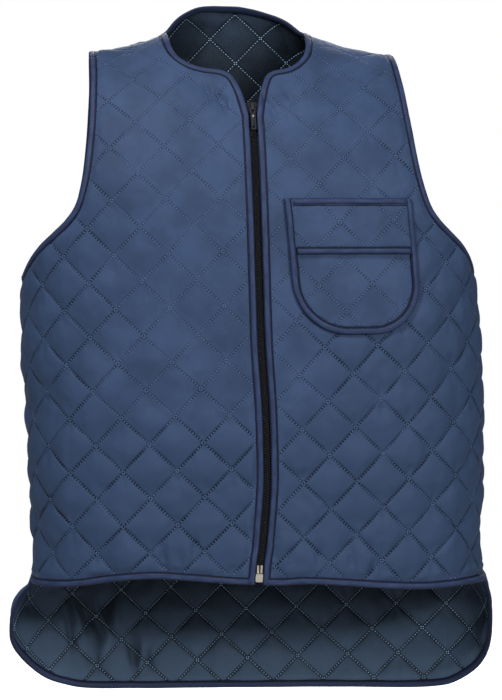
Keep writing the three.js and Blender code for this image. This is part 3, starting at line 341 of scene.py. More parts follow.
def seam_line(face, x):
    """Height and set-back of the shoulder seams, and of the nape between them at the back."""
    by_side = lambda sizes: np.where(x < 0, sizes[-1], sizes[1])
    neck = by_side(NECK_HALF)
    past = np.maximum(np.abs(x) - neck, 0) / (by_side(SHOULDER_HALF) - neck)
    tilt = np.clip((x + NECK_HALF[-1]) / (NECK_HALF[-1] + NECK_HALF[1]), 0, 1)
    level = -(NECK_LOW[-1] + (NECK_LOW[1] - NECK_LOW[-1]) * tilt)
    level = level - (by_side(SHOULDER_DROP) - by_side(NECK_LOW)) * past
    level = level - SHOULDER_SAG * 4 * np.clip(past, 0, 1) * (1 - np.clip(past, 0, 1))
    if face == "front":
        return level, np.full_like(level, SEAM_BEHIND_SIDE)
    share = np.clip(x / neck, -1, 1)
    rise = NAPE_RISE * read_table(NAPE, "across", share, "rise")
    return level + rise, SEAM_BEHIND_SIDE + NAPE_BEHIND_SEAM * (1 - share**2)


def dome(face, x, deep):
    start = CHEST_HEIGHT if face == "front" else BLADE_HEIGHT
    height, behind = seam_line(face, x)
    lean = deep + behind if face == "front" else deep - behind
    ups = (height - start)[:, None] * np.sin(DOME_ANGLES)
    backs = lean[:, None] * (1 - np.cos(DOME_ANGLES))
    return start, ups, backs, lengths_along(ups, backs)


def cloth_rows(face, across, up):
    """Middle surface without folds: a squared tube up to the chest, then a dome to the shoulders."""
    start = CHEST_HEIGHT if face == "front" else BLADE_HEIGHT
    base = np.minimum(up, start)
    wide, deep_row, along = body_section(face, base)
    away = np.abs(across)
    sideways = read_rows(along, wide, away)
    deep = read_rows(along, deep_row, away)
    sign = np.where(across < 0, -1, 1)
    _, ups, backs, along_dome = dome(face, sign * sideways, deep)
    above = up > start
    rise = np.where(above, up - start, 0)
    deep = np.where(above, deep - read_rows(along_dome, backs, rise), deep)
    height = np.where(above, start + read_rows(along_dome, ups, rise), up)
    shift = read_table(BODY, "height", base, "shift")
    return np.stack([sign * sideways + shift, -deep if face == "front" else deep, height], axis=1)


def cloth_point(face, across, up):
    across, up = np.broadcast_arrays(np.asarray(across, float), np.asarray(up, float))
    across, up = across.ravel(), up.ravel()
    parts = [
        cloth_rows(face, across[i : i + ROWS_AT_ONCE], up[i : i + ROWS_AT_ONCE])
        for i in range(0, len(across), ROWS_AT_ONCE)
    ]
    return np.concatenate(parts)


def cloth_at(face, x, z):
    """Cloth coordinates of points given by their place across and height."""
    x, z = np.broadcast_arrays(np.atleast_1d(np.asarray(x, float)), np.asarray(z, float))
    start = CHEST_HEIGHT if face == "front" else BLADE_HEIGHT
    base = np.minimum(z, start)
    centred = x - read_table(BODY, "height", base, "shift")
    sign = np.where(centred < 0, -1, 1)
    wide, deep_row, along = body_section(face, base)
    away = np.clip(np.abs(centred), 0, wide[:, -1])
    across = read_rows(wide, along, away)
    _, ups, _, along_dome = dome(face, sign * away, read_rows(along, deep_row, across))
    up = np.where(z <= start, z, start + read_rows(ups, along_dome, np.clip(z - start, 0, ups[:, -1])))
    return sign * across, up


def half_girth(face, height):
    return body_section(face, np.atleast_1d(np.asarray(height, float)))[2][:, -1]


# Seeded noise on the cloth
class Noise:
    """Smooth noise between -1 and 1 on a repeating grid."""

    def __init__(self, seed):
        self.grid = np.random.default_rng(seed).random((256, 256)) * 2 - 1

    def __call__(self, x, y):
        i, j = np.floor(x).astype(int), np.floor(y).astype(int)
        s, t = x - i, y - j
        s, t = s * s * s * (s * (s * 6 - 15) + 10), t * t * t * (t * (t * 6 - 15) + 10)
        i0, i1, j0, j1 = i % 256, (i + 1) % 256, j % 256, (j + 1) % 256
        low = self.grid[i0, j0] * (1 - s) + self.grid[i1, j0] * s
        high = self.grid[i0, j1] * (1 - s) + self.grid[i1, j1] * s
        return low * (1 - t) + high * t


swell_noise = Noise(11)
ripple_noise = Noise(23)
pucker_noise = Noise(37)
cell_noise = Noise(51)
edge_noise = Noise(67)
crease_noise = Noise(83)


def smooth(low, high, at):
    share = np.clip((at - low) / (high - low), 0, 1)
    return share * share * (3 - 2 * share)


# Places where metal pieces sit on the cloth, which stay as they are in the solid model
HARD_SPOTS = [("front", 3, -105, 42), ("front", -4, -636, 30)]
SWELL = 1.3
SWELL_LENGTH = 85


def fold_rise(face, across, up):
    rise = np.zeros_like(across)
    for fold in FOLDS + CREASES:
        if fold["face"] == face:
            run = math.hypot(fold["runAcross"], fold["runUp"])
            dx, dz = across - fold["across"], up - fold["height"]
            along = (dx * fold["runAcross"] + dz * fold["runUp"]) / (run * run)
            off = (dx * fold["runUp"] - dz * fold["runAcross"]) / (run * fold["width"])
            rise = rise + fold["rise"] * np.exp(-along * along * 1.6 - off * off)
    swell = SWELL * swell_noise(across / SWELL_LENGTH + 40, up / SWELL_LENGTH + 90)
    for spot_face, spot_across, spot_up, reach in HARD_SPOTS:
        if spot_face == face:
            swell = swell * (1 - np.exp(-((across - spot_across) ** 2 + (up - spot_up) ** 2) / reach**2))
    return rise + swell


NORMAL_STEP = 0.5


def cloth_frame(face, across, up):
    """Middle surface with its folds, and its outward direction."""
    across, up = np.broadcast_arrays(np.asarray(across, float), np.asarray(up, float))
    across, up = across.ravel(), up.ravel()
    along = cloth_point(face, across + NORMAL_STEP, up) - cloth_point(face, across - NORMAL_STEP, up)
    upward = cloth_point(face, across, up + NORMAL_STEP) - cloth_point(face, across, up - NORMAL_STEP)
    normal = np.cross(along, upward)
    normal /= np.linalg.norm(normal, axis=1)[:, None]
    if face == "back":
        normal = -normal
    place = cloth_point(face, across, up) + normal * fold_rise(face, across, up)[:, None]
    return place, normal


def lifted(face, across, up, lift):
    place, normal = cloth_frame(face, across, up)
    return place + normal * np.broadcast_to(np.asarray(lift, float), (len(place),))[:, None]


def running_length(points):
    """Distance of each point from the first, along the line that joins them."""
    return np.concatenate([[0], np.cumsum(np.linalg.norm(np.diff(points, axis=0), axis=1))])


def read_along(lengths, points, at):
    """Points at given distances along a line of points."""
    return np.stack([np.interp(at, lengths, column) for column in points.T], axis=1)


# Outlines of the panels, as (outward, up) with outward measured from the middle to one side
FINE_STEPS = 800


def even_points(curve, step):
    """Points of a curve at even distances, about a step apart."""
    share = np.linspace(0, 1, FINE_STEPS + 1)
    fine = np.stack(curve(share), axis=1)
    lengths = running_length(fine)
    count = max(1, round(lengths[-1] / step))
    targets = np.linspace(0, lengths[-1], count + 1)
    return read_along(lengths, fine, targets)


def inset_loop(points, distances):
    """Moves each edge of a loop inward by its own distance."""
    before, after = np.roll(points, 1, axis=0), np.roll(points, -1, axis=0)
    d_in, d_out = points - before, after - points
    n1 = np.stack([-d_in[:, 1], d_in[:, 0]], axis=1) / np.linalg.norm(d_in, axis=1)[:, None]
    n2 = np.stack([-d_out[:, 1], d_out[:, 0]], axis=1) / np.linalg.norm(d_out, axis=1)[:, None]
    d1, d2 = np.roll(distances, 1), distances
    turn = n1[:, 0] * n2[:, 1] - n1[:, 1] * n2[:, 0]
    straight = np.abs(turn) < 0.02
    safe = np.where(straight, 1, turn)
    sharp = points + np.stack([
        (d1 * n2[:, 1] - d2 * n1[:, 1]) / safe,
        (d2 * n1[:, 0] - d1 * n2[:, 0]) / safe,
    ], axis=1)
    flat = points + (n1 + n2) / 2 * d1[:, None]
    return np.where(straight[:, None], flat, sharp)


def join_edges(edges):
    points, names, corners = [], [], {}
    for name, edge, corner in edges:
        if corner:
            corners[len(points)] = corner
        points.extend(edge[:-1])
        names.extend([name] * (len(edge) - 1))
    return {"points": np.array(points), "names": names, "corners": corners}


def inset_edges(loop, distances):
    spans = np.array([distances[name] for name in loop["names"]], float)
    moved = inset_loop(loop["points"], spans)
    for i, (bound_first, place) in loop["corners"].items():
        before = spans[i - 1]
        moved[i] = place(before, spans[i]) if bound_first else place(spans[i], before)
    return moved


def sway(height):
    return read_table(FRONT_SWAY, "height", height, "shift")


def shoulder_place(face, side, x):
    x = np.atleast_1d(np.asarray(x, float))
    across, up = cloth_at(face, side * x, seam_line(face, side * x)[0])
    return side * across, up


def panel_corners(face, side, bottom):
    arm = -ARMHOLE_DEPTH[side]

    def on_shoulder(x, gap):
        across, up = shoulder_place(face, side, x)
        return (across[0], up[0] - gap)

    def on_side(height, gap):
        return (half_girth(face, height)[0] - gap, height)

    return {
        "neck": lambda width, gap: on_shoulder(NECK_HALF[side] + width, gap),
        "shoulder": lambda width, gap: on_shoulder(SHOULDER_HALF[side] - width, gap),
        "armhole": lambda width, gap: on_side(arm - width, gap),
        "hem": lambda width, gap: on_side(bottom + width, gap),
    }


def shoulder_seam(face, side):
    first, last = SHOULDER_HALF[side], NECK_HALF[side]
    return even_points(lambda share: shoulder_place(face, side, first + (last - first) * share), EDGE_STEP)


def side_seam(face, side, bottom):
    top = -ARMHOLE_DEPTH[side]
    up = np.linspace(bottom, top, round((top - bottom) / EDGE_STEP) + 1)
    return np.stack([half_girth(face, up), up], axis=1)


def with_rows(table):
    return [dict(entry, row=row) for row, entry in enumerate(table)]


def armhole_edge(face, side):
    rows = with_rows(ARMHOLE)
    half = float(read_table(BODY, "height", -ARMHOLE_DEPTH[side], "half"))

    def curve(share):
        row = (len(rows) - 1) * (1 - share)
        x = SHOULDER_HALF[side] + (half - SHOULDER_HALF[side]) * read_table(rows, "row", row, "across")
        down = read_table(rows, "row", row, "down")
        z = -(SHOULDER_DROP[side] + (ARMHOLE_DEPTH[side] - SHOULDER_DROP[side]) * down)
        across, up = cloth_at(face, side * x, z)
        return side * across, up

    edge = even_points(curve, EDGE_STEP)
    edge[0] = (half_girth(face, -ARMHOLE_DEPTH[side])[0], -ARMHOLE_DEPTH[side])
    return edge


def neckline_edge(side):
    rows = with_rows(NECKLINE)

    def curve(share):
        row = (len(rows) - 1) * share
        out = read_table(rows, "row", row, "across")
        z = -NECK_LOW[side] - (NECK_DROP - NECK_LOW[side]) * read_table(rows, "row", row, "down")
        centre = sway(z) * (1 - np.clip(out, 0, 1) ** 3)
        across, up = cloth_at("front", centre + side * (FRONT_GAP + (NECK_HALF[side] - FRONT_GAP) * out), z)
        return side * across, up

    return even_points(curve, EDGE_STEP)


def hem_height(side, across):
    girth = half_girth("front", HEM_HEIGHT)[0]
    return HEM_HEIGHT - read_table(FRONT_HEM, "across", np.clip(side * across / girth, -1, 1), "drop")


def side_bottom(side):
    return float(hem_height(side, half_girth("front", HEM_HEIGHT)[0]))


def front_corner(side):
    across = FRONT_GAP + side * float(sway(HEM_HEIGHT))
    return across, float(hem_height(side, across))


def front_loop(side):
    neck = neckline_edge(side)
    corner = front_corner(side)

    def front_curve(share):
        up = neck[-1][1] + (corner[1] - neck[-1][1]) * share
        return FRONT_GAP + side * sway(cloth_point("front", 0, up)[:, 2]), up

    front_edge = even_points(front_curve, EDGE_STEP)
    front_edge[0] = neck[-1]
    front_edge[-1] = corner
    bottom = side_bottom(side)
    seam = side_seam("front", side, bottom)

    def hem_curve(share):
        across = corner[0] + (seam[0][0] - corner[0]) * share
        return across, hem_height(side, across)

    hem = even_points(hem_curve, EDGE_STEP)
    hem[-1] = seam[0]
    rules = panel_corners("front", side, bottom)
    return join_edges([
        ("shoulder", shoulder_seam("front", side), (True, rules["shoulder"])),
        ("neck", neck, (False, rules["neck"])),
        ("front", front_edge, None),
        ("hem", hem, None),
        ("side", seam, (True, rules["hem"])),
        ("arm", armhole_edge("front", side), (False, rules["armhole"])),
    ])


def mirrored(points):
    return (points * np.array([-1, 1]))[::-1]


def back_loop():
    def nape_curve(share):
        x = NECK_HALF[1] - (NECK_HALF[-1] + NECK_HALF[1]) * share
        across, up = cloth_at("back", x, seam_line("back", x)[0])
        return across, up - NAPE_TRIM * (1 - (x / np.where(x < 0, NECK_HALF[-1], NECK_HALF[1])) ** 2)

    nape = even_points(nape_curve, EDGE_STEP)
    bottoms = {-1: side_bottom(-1), 1: side_bottom(1)}
    seams = {side: side_seam("back", side, bottoms[side]) for side in (-1, 1)}
    rules = {side: panel_corners("back", side, bottoms[side]) for side in (-1, 1)}

    def turned(place):
        return lambda width, gap: (-place(width, gap)[0], place(width, gap)[1])

    stops = [{"across": -seams[-1][0][0], "up": bottoms[-1]}]
    for row in TAIL:
        height = HEM_HEIGHT - row["drop"]
        stops.append({"across": row["across"] * half_girth("back", height)[0], "up": height})
    stops.append({"across": seams[1][0][0], "up": bottoms[1]})
    stops = with_rows(stops)

    def tail_curve(share):
        row = (len(stops) - 1) * share
        return read_table(stops, "row", row, "across"), read_table(stops, "row", row, "up")

    return join_edges([
        ("shoulder_left", shoulder_seam("back", 1), (True, rules[1]["shoulder"])),
        ("nape", nape, (False, rules[1]["neck"])),
        ("shoulder_right", mirrored(shoulder_seam("back", -1)), (True, turned(rules[-1]["neck"]))),
        ("arm_right", mirrored(armhole_edge("back", -1)), (False, turned(rules[-1]["shoulder"]))),
        ("side_right", mirrored(seams[-1]), (True, turned(rules[-1]["armhole"]))),
        ("tail", even_points(tail_curve, EDGE_STEP), (False, turned(rules[-1]["hem"]))),
        ("side_left", seams[1], (True, rules[1]["hem"])),
        ("arm_left", armhole_edge("back", 1), (False, rules[1]["armhole"])),
    ])


def pocket_point(right, down):
    return np.stack([
        POCKET["across"] + right + POCKET["lean"] * down,
        POCKET["height"] - down + POCKET["slope"] * right,
    ], axis=-1)


def pocket_line(x0, y0, x1, y1):
    count = max(1, round(math.hypot(x1 - x0, y1 - y0) / EDGE_STEP))
    return pocket_point(np.linspace(x0, x1, count + 1), np.linspace(y0, y1, count + 1))


def pocket_edge(top, inset):
    radius = POCKET["corner"] - inset
    middle_down = POCKET["depth"] - POCKET["corner"]
    middles = (POCKET["corner"], POCKET["width"] - POCKET["corner"])
    bottom = POCKET["depth"] - inset
    steps = round(POCKET["corner"] * math.pi / 2 / EDGE_STEP)

    def turn(middle, start):
        angle = start - math.pi / 2 * np.linspace(0, 1, steps + 1)
        return pocket_point(middle + radius * np.cos(angle), middle_down + radius * np.sin(angle))

    return np.concatenate([
        pocket_line(inset, top, inset, middle_down)[:-1],
        turn(middles[0], math.pi)[:-1],
        pocket_line(middles[0], bottom, middles[1], bottom)[:-1],
        turn(middles[1], math.pi / 2)[:-1],
        pocket_line(POCKET["width"] - inset, middle_down, POCKET["width"] - inset, top),
    ])


# Mesh making
SCALE = 0.001


def make_object(name, points, faces, material, attributes=None):
    mesh = bpy.data.meshes.new(name)
    mesh.from_pydata((np.asarray(points) * SCALE).tolist(), [], faces)
    mesh.update()
    for key, values in (attributes or {}).items():
        layer = mesh.attributes.new(key, "FLOAT_VECTOR", "POINT")
        layer.data.foreach_set("vector", np.asarray(values, np.float32).ravel())
    mesh.polygons.foreach_set("use_smooth", np.ones(len(mesh.polygons), bool))
    mesh.materials.append(material)
    piece = bpy.data.objects.new(name, mesh)
    bpy.context.scene.collection.objects.link(piece)
    return piece


def resample_loop(points, step):
    """Leaves out the points of a loop that lie too close together."""
    lengths = running_length(points)
    keep = [0]
    for i in range(1, len(points)):
        if lengths[i] - lengths[keep[-1]] >= step * 0.75:
            keep.append(i)
    return points[keep]


def inside(loop, points):
    """Which points lie inside a loop."""
    result = np.zeros(len(points), bool)
    for (x0, y0), (x1, y1) in zip(loop, np.roll(loop, -1, axis=0)):
        if y0 != y1:
            crosses = (y0 > points[:, 1]) != (y1 > points[:, 1])
            at = x0 + (points[:, 1] - y0) / (y1 - y0) * (x1 - x0)
            result ^= crosses & (points[:, 0] < at)
    return result


def distance_to(loop, points):
    """Distance of each point to the nearest edge of a loop."""
    nearest = np.full(len(points), 1e9)
    for (x0, y0), (x1, y1) in zip(loop, np.roll(loop, -1, axis=0)):
        dx, dy = x1 - x0, y1 - y0
        share = np.clip(((points[:, 0] - x0) * dx + (points[:, 1] - y0) * dy) / (dx * dx + dy * dy), 0, 1)
        away = (points[:, 0] - x0 - dx * share) ** 2 + (points[:, 1] - y0 - dy * share) ** 2
        np.minimum(nearest, away, out=nearest)
    return np.sqrt(nearest)


def to_lattice(quilt, across, up):
    dx, dz = across - quilt[0], (up - quilt[1]) / quilt[2]
    return (dx + dz) / (2 * QUILT_HALF_DIAGONAL), (dx - dz) / (2 * QUILT_HALF_DIAGONAL)


def from_lattice(quilt, a, b):
    return quilt[0] + QUILT_HALF_DIAGONAL * (a + b), quilt[1] + QUILT_HALF_DIAGONAL * quilt[2] * (a - b)


# How far rows crowd at the stitch lines, and the strip along an edge that has no points of the rows
ROW_CROWDING = 0.45
BARE_STRIP = 1.1
JOIN_DISTANCE = 1e-6
LEAST_AREA = 1e-4


def quilt_sheet(loop, quilt, cells):
    """Triangles of a panel in pattern coordinates, with rows that follow the stitch lines."""
    corners = [to_lattice(quilt, loop[:, 0], loop[:, 1])]
    a_low, a_high = math.floor(corners[0][0].min()), math.ceil(corners[0][0].max())
    b_low, b_high = math.floor(corners[0][1].min()), math.ceil(corners[0][1].max())
    share = np.arange(cells) / cells
    share = share - ROW_CROWDING * np.sin(2 * math.pi * share) / (2 * math.pi)
    a_rows = (np.arange(a_low, a_high)[:, None] + share).ravel()
    b_rows = (np.arange(b_low, b_high)[:, None] + share).ravel()
    a, b = np.meshgrid(a_rows, b_rows, indexing="ij")
    across, up = from_lattice(quilt, a.ravel(), b.ravel())
    grid = np.stack([across, up], axis=1)
    grid = grid[inside(loop, grid)]
    grid = grid[distance_to(loop, grid) > BARE_STRIP]
    points = np.concatenate([loop, grid])
    verts, _, faces, _, _, _ = delaunay_2d_cdt(
        [Vector(p) for p in points.tolist()], [], [list(range(len(loop)))], 1, JOIN_DISTANCE
    )
    flat = np.array([(v[0], v[1]) for v in verts])
    tris = np.array([f for f in faces if len(f) == 3])
    p, q, r = flat[tris[:, 0]], flat[tris[:, 1]], flat[tris[:, 2]]
    area = (q[:, 0] - p[:, 0]) * (r[:, 1] - p[:, 1]) - (q[:, 1] - p[:, 1]) * (r[:, 0] - p[:, 0])
    tris[area < 0] = tris[area < 0][:, ::-1]
    return flat, tris[np.abs(area) > LEAST_AREA]


def border_edges(tris):
    edges = np.concatenate([tris[:, [0, 1]], tris[:, [1, 2]], tris[:, [2, 0]]])
    keys = np.sort(edges, axis=1)
    _, index, counts = np.unique(keys, axis=0, return_index=True, return_counts=True)
    return edges[index[counts == 1]]


def fullness(face, across, up):
    """Fullness of the filling: flat on the chest, full at the sides and lower down."""
    low = smooth(-400, -500, up)
    if face == "back":
        return 0.75 + 0.1 * low
    sideward = smooth(110, 215, np.abs(across))
    left_low = smooth(-300, -380, up) * smooth(30, 90, across)
    return 0.22 + 0.78 * np.maximum.reduce([low, 0.85 * sideward, left_low])


# Relief of the filled diamonds, its depths as shares of the puff
UNEVEN_FILLING = 0.22
FILLING_TILT = 0.35
PUCKER_DEPTH = 0.3
PUCKER_REACH = 0.16
RIPPLE_DEPTH = 0.16
RIPPLE_LENGTH = 13
CREASE_WIDTH = 3.4
CREASE_DEPTH = 1.3
OUTER_SEED = 3
INNER_SEED = 9
# Distance that sets the pattern of the inside apart from that of the outside
INSIDE_SHIFT = 400


def quilt_relief(quilt, face, across, up, puff, seed):
    """Height of the filled cloth over its stitch lines, with uneven filling and small gathers."""
    a, b = to_lattice(quilt, across, up)
    line_a, line_b = np.abs(np.sin(math.pi * a)), np.abs(np.sin(math.pi * b))
    dome_share = line_a * line_b
    crown = np.sqrt(dome_share)
    filling = 1 + UNEVEN_FILLING * cell_noise(np.floor(a) * 3.7 + seed, np.floor(b) * 3.7 + 0.5)
    tilt = FILLING_TILT * cell_noise(a * 1.4 + 60 + seed, b * 1.4 + 20) * dome_share
    near_a = np.exp(-((line_a / math.pi / PUCKER_REACH) ** 2))
    near_b = np.exp(-((line_b / math.pi / PUCKER_REACH) ** 2))
    gather = near_a * np.sqrt(line_a) * pucker_noise(a * 1.3 + seed, b * 5.2)
    gather = gather + near_b * np.sqrt(line_b) * pucker_noise(a * 5.2, b * 1.3 + 70 + seed)
    ripple = RIPPLE_DEPTH * ripple_noise(across / RIPPLE_LENGTH + seed, up / RIPPLE_LENGTH) * crown
    middle_line = np.abs(a + b - np.round(a + b)) * QUILT_HALF_DIAGONAL / CREASE_WIDTH
    pull = np.clip(crease_noise(np.round(a + b) * 3.3 + seed, (a - b) * 1.2) + 0.15, 0, 1)
    crease = CREASE_DEPTH * pull * np.exp(-(middle_line**2)) * crown * (1 - dome_share)
    return puff * (crown * filling + tilt + PUCKER_DEPTH * gather + ripple - crease)


def quilt_panel(name, face, side, loop, quilt, cells, layers, material, amount=None):
    loop = resample_loop(loop * np.array([side, 1]), BORDER_STEP)
    flat, tris = quilt_sheet(loop, quilt, cells)
    across, up = flat[:, 0], flat[:, 1]
    rim = distance_to(loop, flat)
    held = smooth(0, layers["margin"], rim)
    full = (amount or fullness)(face, across, up) * held
    place, normal = cloth_frame(face, across, up)
    outer = layers["outer"] + quilt_relief(quilt, face, across, up, layers["outer_puff"], OUTER_SEED) * full
    inner = layers["inner"] - quilt_relief(quilt, face, across, up, layers["inner_puff"], INNER_SEED) * full
    if "ceiling" in layers:
        outer = np.minimum(outer, layers["ceiling"](across, up))
    points = np.concatenate([place + normal * outer[:, None], place + normal * inner[:, None]])
    count = len(flat)
    outward = tris if face == "front" else tris[:, ::-1]
    edges = border_edges(outward)
    rims = np.stack([edges[:, 1], edges[:, 0], edges[:, 0] + count, edges[:, 1] + count], axis=1)
    faces = outward.tolist() + (outward[:, ::-1] + count).tolist() + rims.tolist()
    a, b = to_lattice(quilt, across, up)
    pattern = np.stack([across, up, np.ones(count)], axis=1)
    inside_pattern = pattern * np.array([1, 1, -1]) + np.array([INSIDE_SHIFT, 0, 0])
    lattice = np.stack([a, b, full], axis=1)
    piece = make_object(name, points, faces, material, {
        "cloth": np.concatenate([pattern, inside_pattern]),
        "lattice": np.concatenate([lattice, lattice]),
    })
    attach(piece, BODY_NAME)
    return piece, loop


STITCH_LENGTH = 2.2
STITCHES_A_SIDE = 12
THREAD_HALF_WIDTH = 0.45
# Rings of a stitch: share of its length, and size and rise as shares of the half width
THREAD_RINGS = [(0.0, 0.0, -0.25), (0.14, 0.8, 0.1), (0.5, 1.0, 0.3), (0.86, 0.8, 0.1), (1.0, 0.0, -0.25)]
THREAD_LIFT = 0.12
STITCH_MARGIN = 3
INNER_THREAD_LIFT = 0.5
INNER_THREAD_HALF_WIDTH = 0.62


def stitch_mesh(name, start, end, normal, half_width, material):
    """Short threads from start to end, each a slim rounded bar."""
    direction = end - start
    direction /= np.linalg.norm(direction, axis=1)[:, None]
    side = np.cross(normal, direction)
    side /= np.linalg.norm(side, axis=1)[:, None]
    rings = []
    for share, size, rise in THREAD_RINGS:
        middle = start + (end - start) * share + normal * rise * half_width
        if size == 0:
            rings.append(middle[:, None, :])
        else:
            w = half_width * size
            corners = [middle + side * w, middle + normal * w, middle - side * w, middle - normal * w]
            rings.append(np.stack(corners, axis=1))
    points = np.concatenate(rings, axis=1)
    size = points.shape[1]
    cap0 = [(0, 1 + k, 1 + (k + 1) % 4) for k in range(4)]
    cap1 = [(size - 1, 9 + (k + 1) % 4, 9 + k) for k in range(4)]
    body = [
        (1 + ring * 4 + k, 5 + ring * 4 + k, 5 + ring * 4 + (k + 1) % 4, 1 + ring * 4 + (k + 1) % 4)
        for ring in range(2)
        for k in range(4)
    ]
    faces = []
    base = np.arange(len(points))[:, None] * size
    for pattern in (cap0, cap1, body):
        for face in pattern:
            faces.extend((base + np.array(face)).tolist())
    piece = make_object(name, points.reshape(-1, 3), faces, material)
    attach(piece, BODY_NAME)
    return piece


def stitch_middles(along):
    """Middles of the stitches along a stitch line that spans the given lattice coordinates."""
    first, last = math.floor(along.min()), math.ceil(along.max())
    return (np.arange(first * STITCHES_A_SIDE, last * STITCHES_A_SIDE) + 0.5) / STITCHES_A_SIDE


def quilt_stitches(name, face, loop, quilt, lift, material, outward=True, half_width=THREAD_HALF_WIDTH):
    a_all, b_all = to_lattice(quilt, loop[:, 0], loop[:, 1])
    middles = []
    for line in range(math.ceil(a_all.min()), math.floor(a_all.max()) + 1):
        b = stitch_middles(b_all)
        middles.append(np.stack([np.full_like(b, line), b, np.zeros_like(b)], axis=1))
    for line in range(math.ceil(b_all.min()), math.floor(b_all.max()) + 1):
        a = stitch_middles(a_all)
        middles.append(np.stack([a, np.full_like(a, line), np.ones_like(a)], axis=1))
    middles = np.concatenate(middles)
    across, up = from_lattice(quilt, middles[:, 0], middles[:, 1])
    spots = np.stack([across, up], axis=1)
    keep = inside(loop, spots)
    keep[keep] = distance_to(loop, spots[keep]) > STITCH_MARGIN
    middles = middles[keep]
    half = STITCH_LENGTH / 2 / QUILT_SIDE
    along_a = middles[:, 2] == 1
    step = np.where(along_a[:, None], np.array([half, 0]), np.array([0, half]))
    ends = []
    for sign in (-1, 1):
        a, b = (middles[:, :2] + sign * step).T
        ends.append(lifted(face, *from_lattice(quilt, a, b), lift))
    across, up = from_lattice(quilt, middles[:, 0], middles[:, 1])
    _, normal = cloth_frame(face, across, up)
    if not outward:
        normal = -normal
    return stitch_mesh(name, ends[0], ends[1], normal, half_width, material)


# Section of a folded binding tape: share of the way from the finished edge to the sewn edge, and lift
BINDING_SECTION = [
    (1.0, 1.25), (0.985, 1.7), (0.93, 1.95), (0.86, 1.8), (0.8, 1.4), (0.74, 1.8), (0.62, 2.15),
    (0.45, 2.3), (0.28, 2.3), (0.12, 2.05), (0.02, 1.55), (-0.05, 0.85), (-0.08, 0.0),
]
BINDING_SECTION = BINDING_SECTION + [(share, -lift) for share, lift in BINDING_SECTION[-2::-1]]
SEWN_SHARE = 0.8
SEWN_LIFT = 1.5


def edge_pair(loop, edges, beside, width):
    """Finished edge and sewn edge of a binding along neighbouring edges of a loop."""
    spread = lambda distance: {name: distance for name in edges}
    near = inset_edges(loop, {**beside, **spread(0)})
    far = inset_edges(loop, {**beside, **spread(width)})
    first = loop["names"].index(edges[0])
    count = sum(name in edges for name in loop["names"])
    index = (first + np.arange(count + 1)) % len(near)
    return near[index], far[index]


# Waves of a binding: lengths, shares of its width, and rows of the noise
FAST_WAVE, SLOW_WAVE = 6.5, 31
FAST_SHARE, SLOW_SHARE = 0.02, 0.035
FAST_ROW, SLOW_ROW = 3.5, 9.5


def binding_rings(face, side, near, far, section, ripple=0.3):
    """Rings of points of a binding, with the small waves that its sewing leaves in it."""
    flip = np.array([side, 1])
    lengths = running_length(near)
    offset = abs(near[0][0]) + abs(near[0][1]) * 3
    wave = edge_noise(lengths / FAST_WAVE + offset, np.full(len(near), FAST_ROW))
    slow = edge_noise(lengths / SLOW_WAVE + offset, np.full(len(near), SLOW_ROW))
    rings = []
    for share, lift in section:
        shift = share + SLOW_SHARE * slow * (share < 0.5) + FAST_SHARE * wave * (share >= 0.5)
        spot = near + (far - near) * shift[:, None]
        height = lift + np.sign(lift) * ripple * wave * math.sin(math.pi * min(max(share, 0.1), 0.95))
        rings.append(lifted(face, *(spot * flip).T, height))
    return np.stack(rings, axis=1)


def loft(name, rings, material, closed=False, shares=0.0):
    """Skin over neighbouring rings, capped at both ends unless it closes on itself."""
    count, size = rings.shape[:2]
    here = np.arange(count if closed else count - 1)
    there = (here + 1) % count
    k = np.arange(size)
    next_k = (k + 1) % size
    quads = np.stack([
        here[:, None] * size + k,
        here[:, None] * size + next_k,
        there[:, None] * size + next_k,
        there[:, None] * size + k,
    ], axis=2).reshape(-1, 4)
    faces = quads.tolist()
    if not closed:
        faces.append(list(range(size))[::-1])
        faces.append([(count - 1) * size + i for i in range(size)])
    around = np.linalg.norm(np.diff(rings, axis=1, append=rings[:, :1]), axis=2)
    along = running_length(rings[:, 0])
    pattern = np.stack([
        np.repeat(along[:, None], size, axis=1),
        np.cumsum(around, axis=1) - around,
        np.zeros((count, size)) + shares,
    ], axis=2).reshape(-1, 3)
    piece = make_object(name, rings.reshape(-1, 3), faces, material, {"cloth": pattern})
    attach(piece, BODY_NAME)
    return piece


def fix_normals(piece):
    """Turns the faces outward on a closed piece."""
    mesh = bmesh.new()
    mesh.from_mesh(piece.data)
    bmesh.ops.recalc_face_normals(mesh, faces=mesh.faces)
    mesh.to_mesh(piece.data)
    mesh.free()


EDGE_STITCH_PITCH = 3.2
EDGE_STITCH_LENGTH = 2.3
# Share of the pitch before the first stitch
EDGE_STITCH_START = 0.15


def edge_stitches(name, runs, material):
    """Stitches along lines of points; each run is (points, normals)."""
    starts, ends, normals = [], [], []
    for points, normal in runs:
        lengths = running_length(points)
        count = int(lengths[-1] / EDGE_STITCH_PITCH)
        begin = (np.arange(count) + EDGE_STITCH_START) * EDGE_STITCH_PITCH
        starts.append(read_along(lengths, points, begin))
        ends.append(read_along(lengths, points, begin + EDGE_STITCH_LENGTH))
        normals.append(read_along(lengths, normal, begin + EDGE_STITCH_LENGTH / 2))
    normal = np.concatenate(normals)
    normal /= np.linalg.norm(normal, axis=1)[:, None]
    start, end = np.concatenate(starts), np.concatenate(ends)
    return stitch_mesh(name, start, end, normal, THREAD_HALF_WIDTH, material)


def sewn_run(face, side, near, far, lift, share=SEWN_SHARE):
    spot = (near + (far - near) * share) * np.array([side, 1])
    place, normal = cloth_frame(face, *spot.T)
    return place + normal * lift, normal * (1 if lift > 0 else -1)


# Materials
def srgb(r, g, b):
    channel = lambda c: c / 12.92 if c <= 0.04045 else ((c + 0.055) / 1.055) ** 2.4
    return (channel(r / 255), channel(g / 255), channel(b / 255), 1)


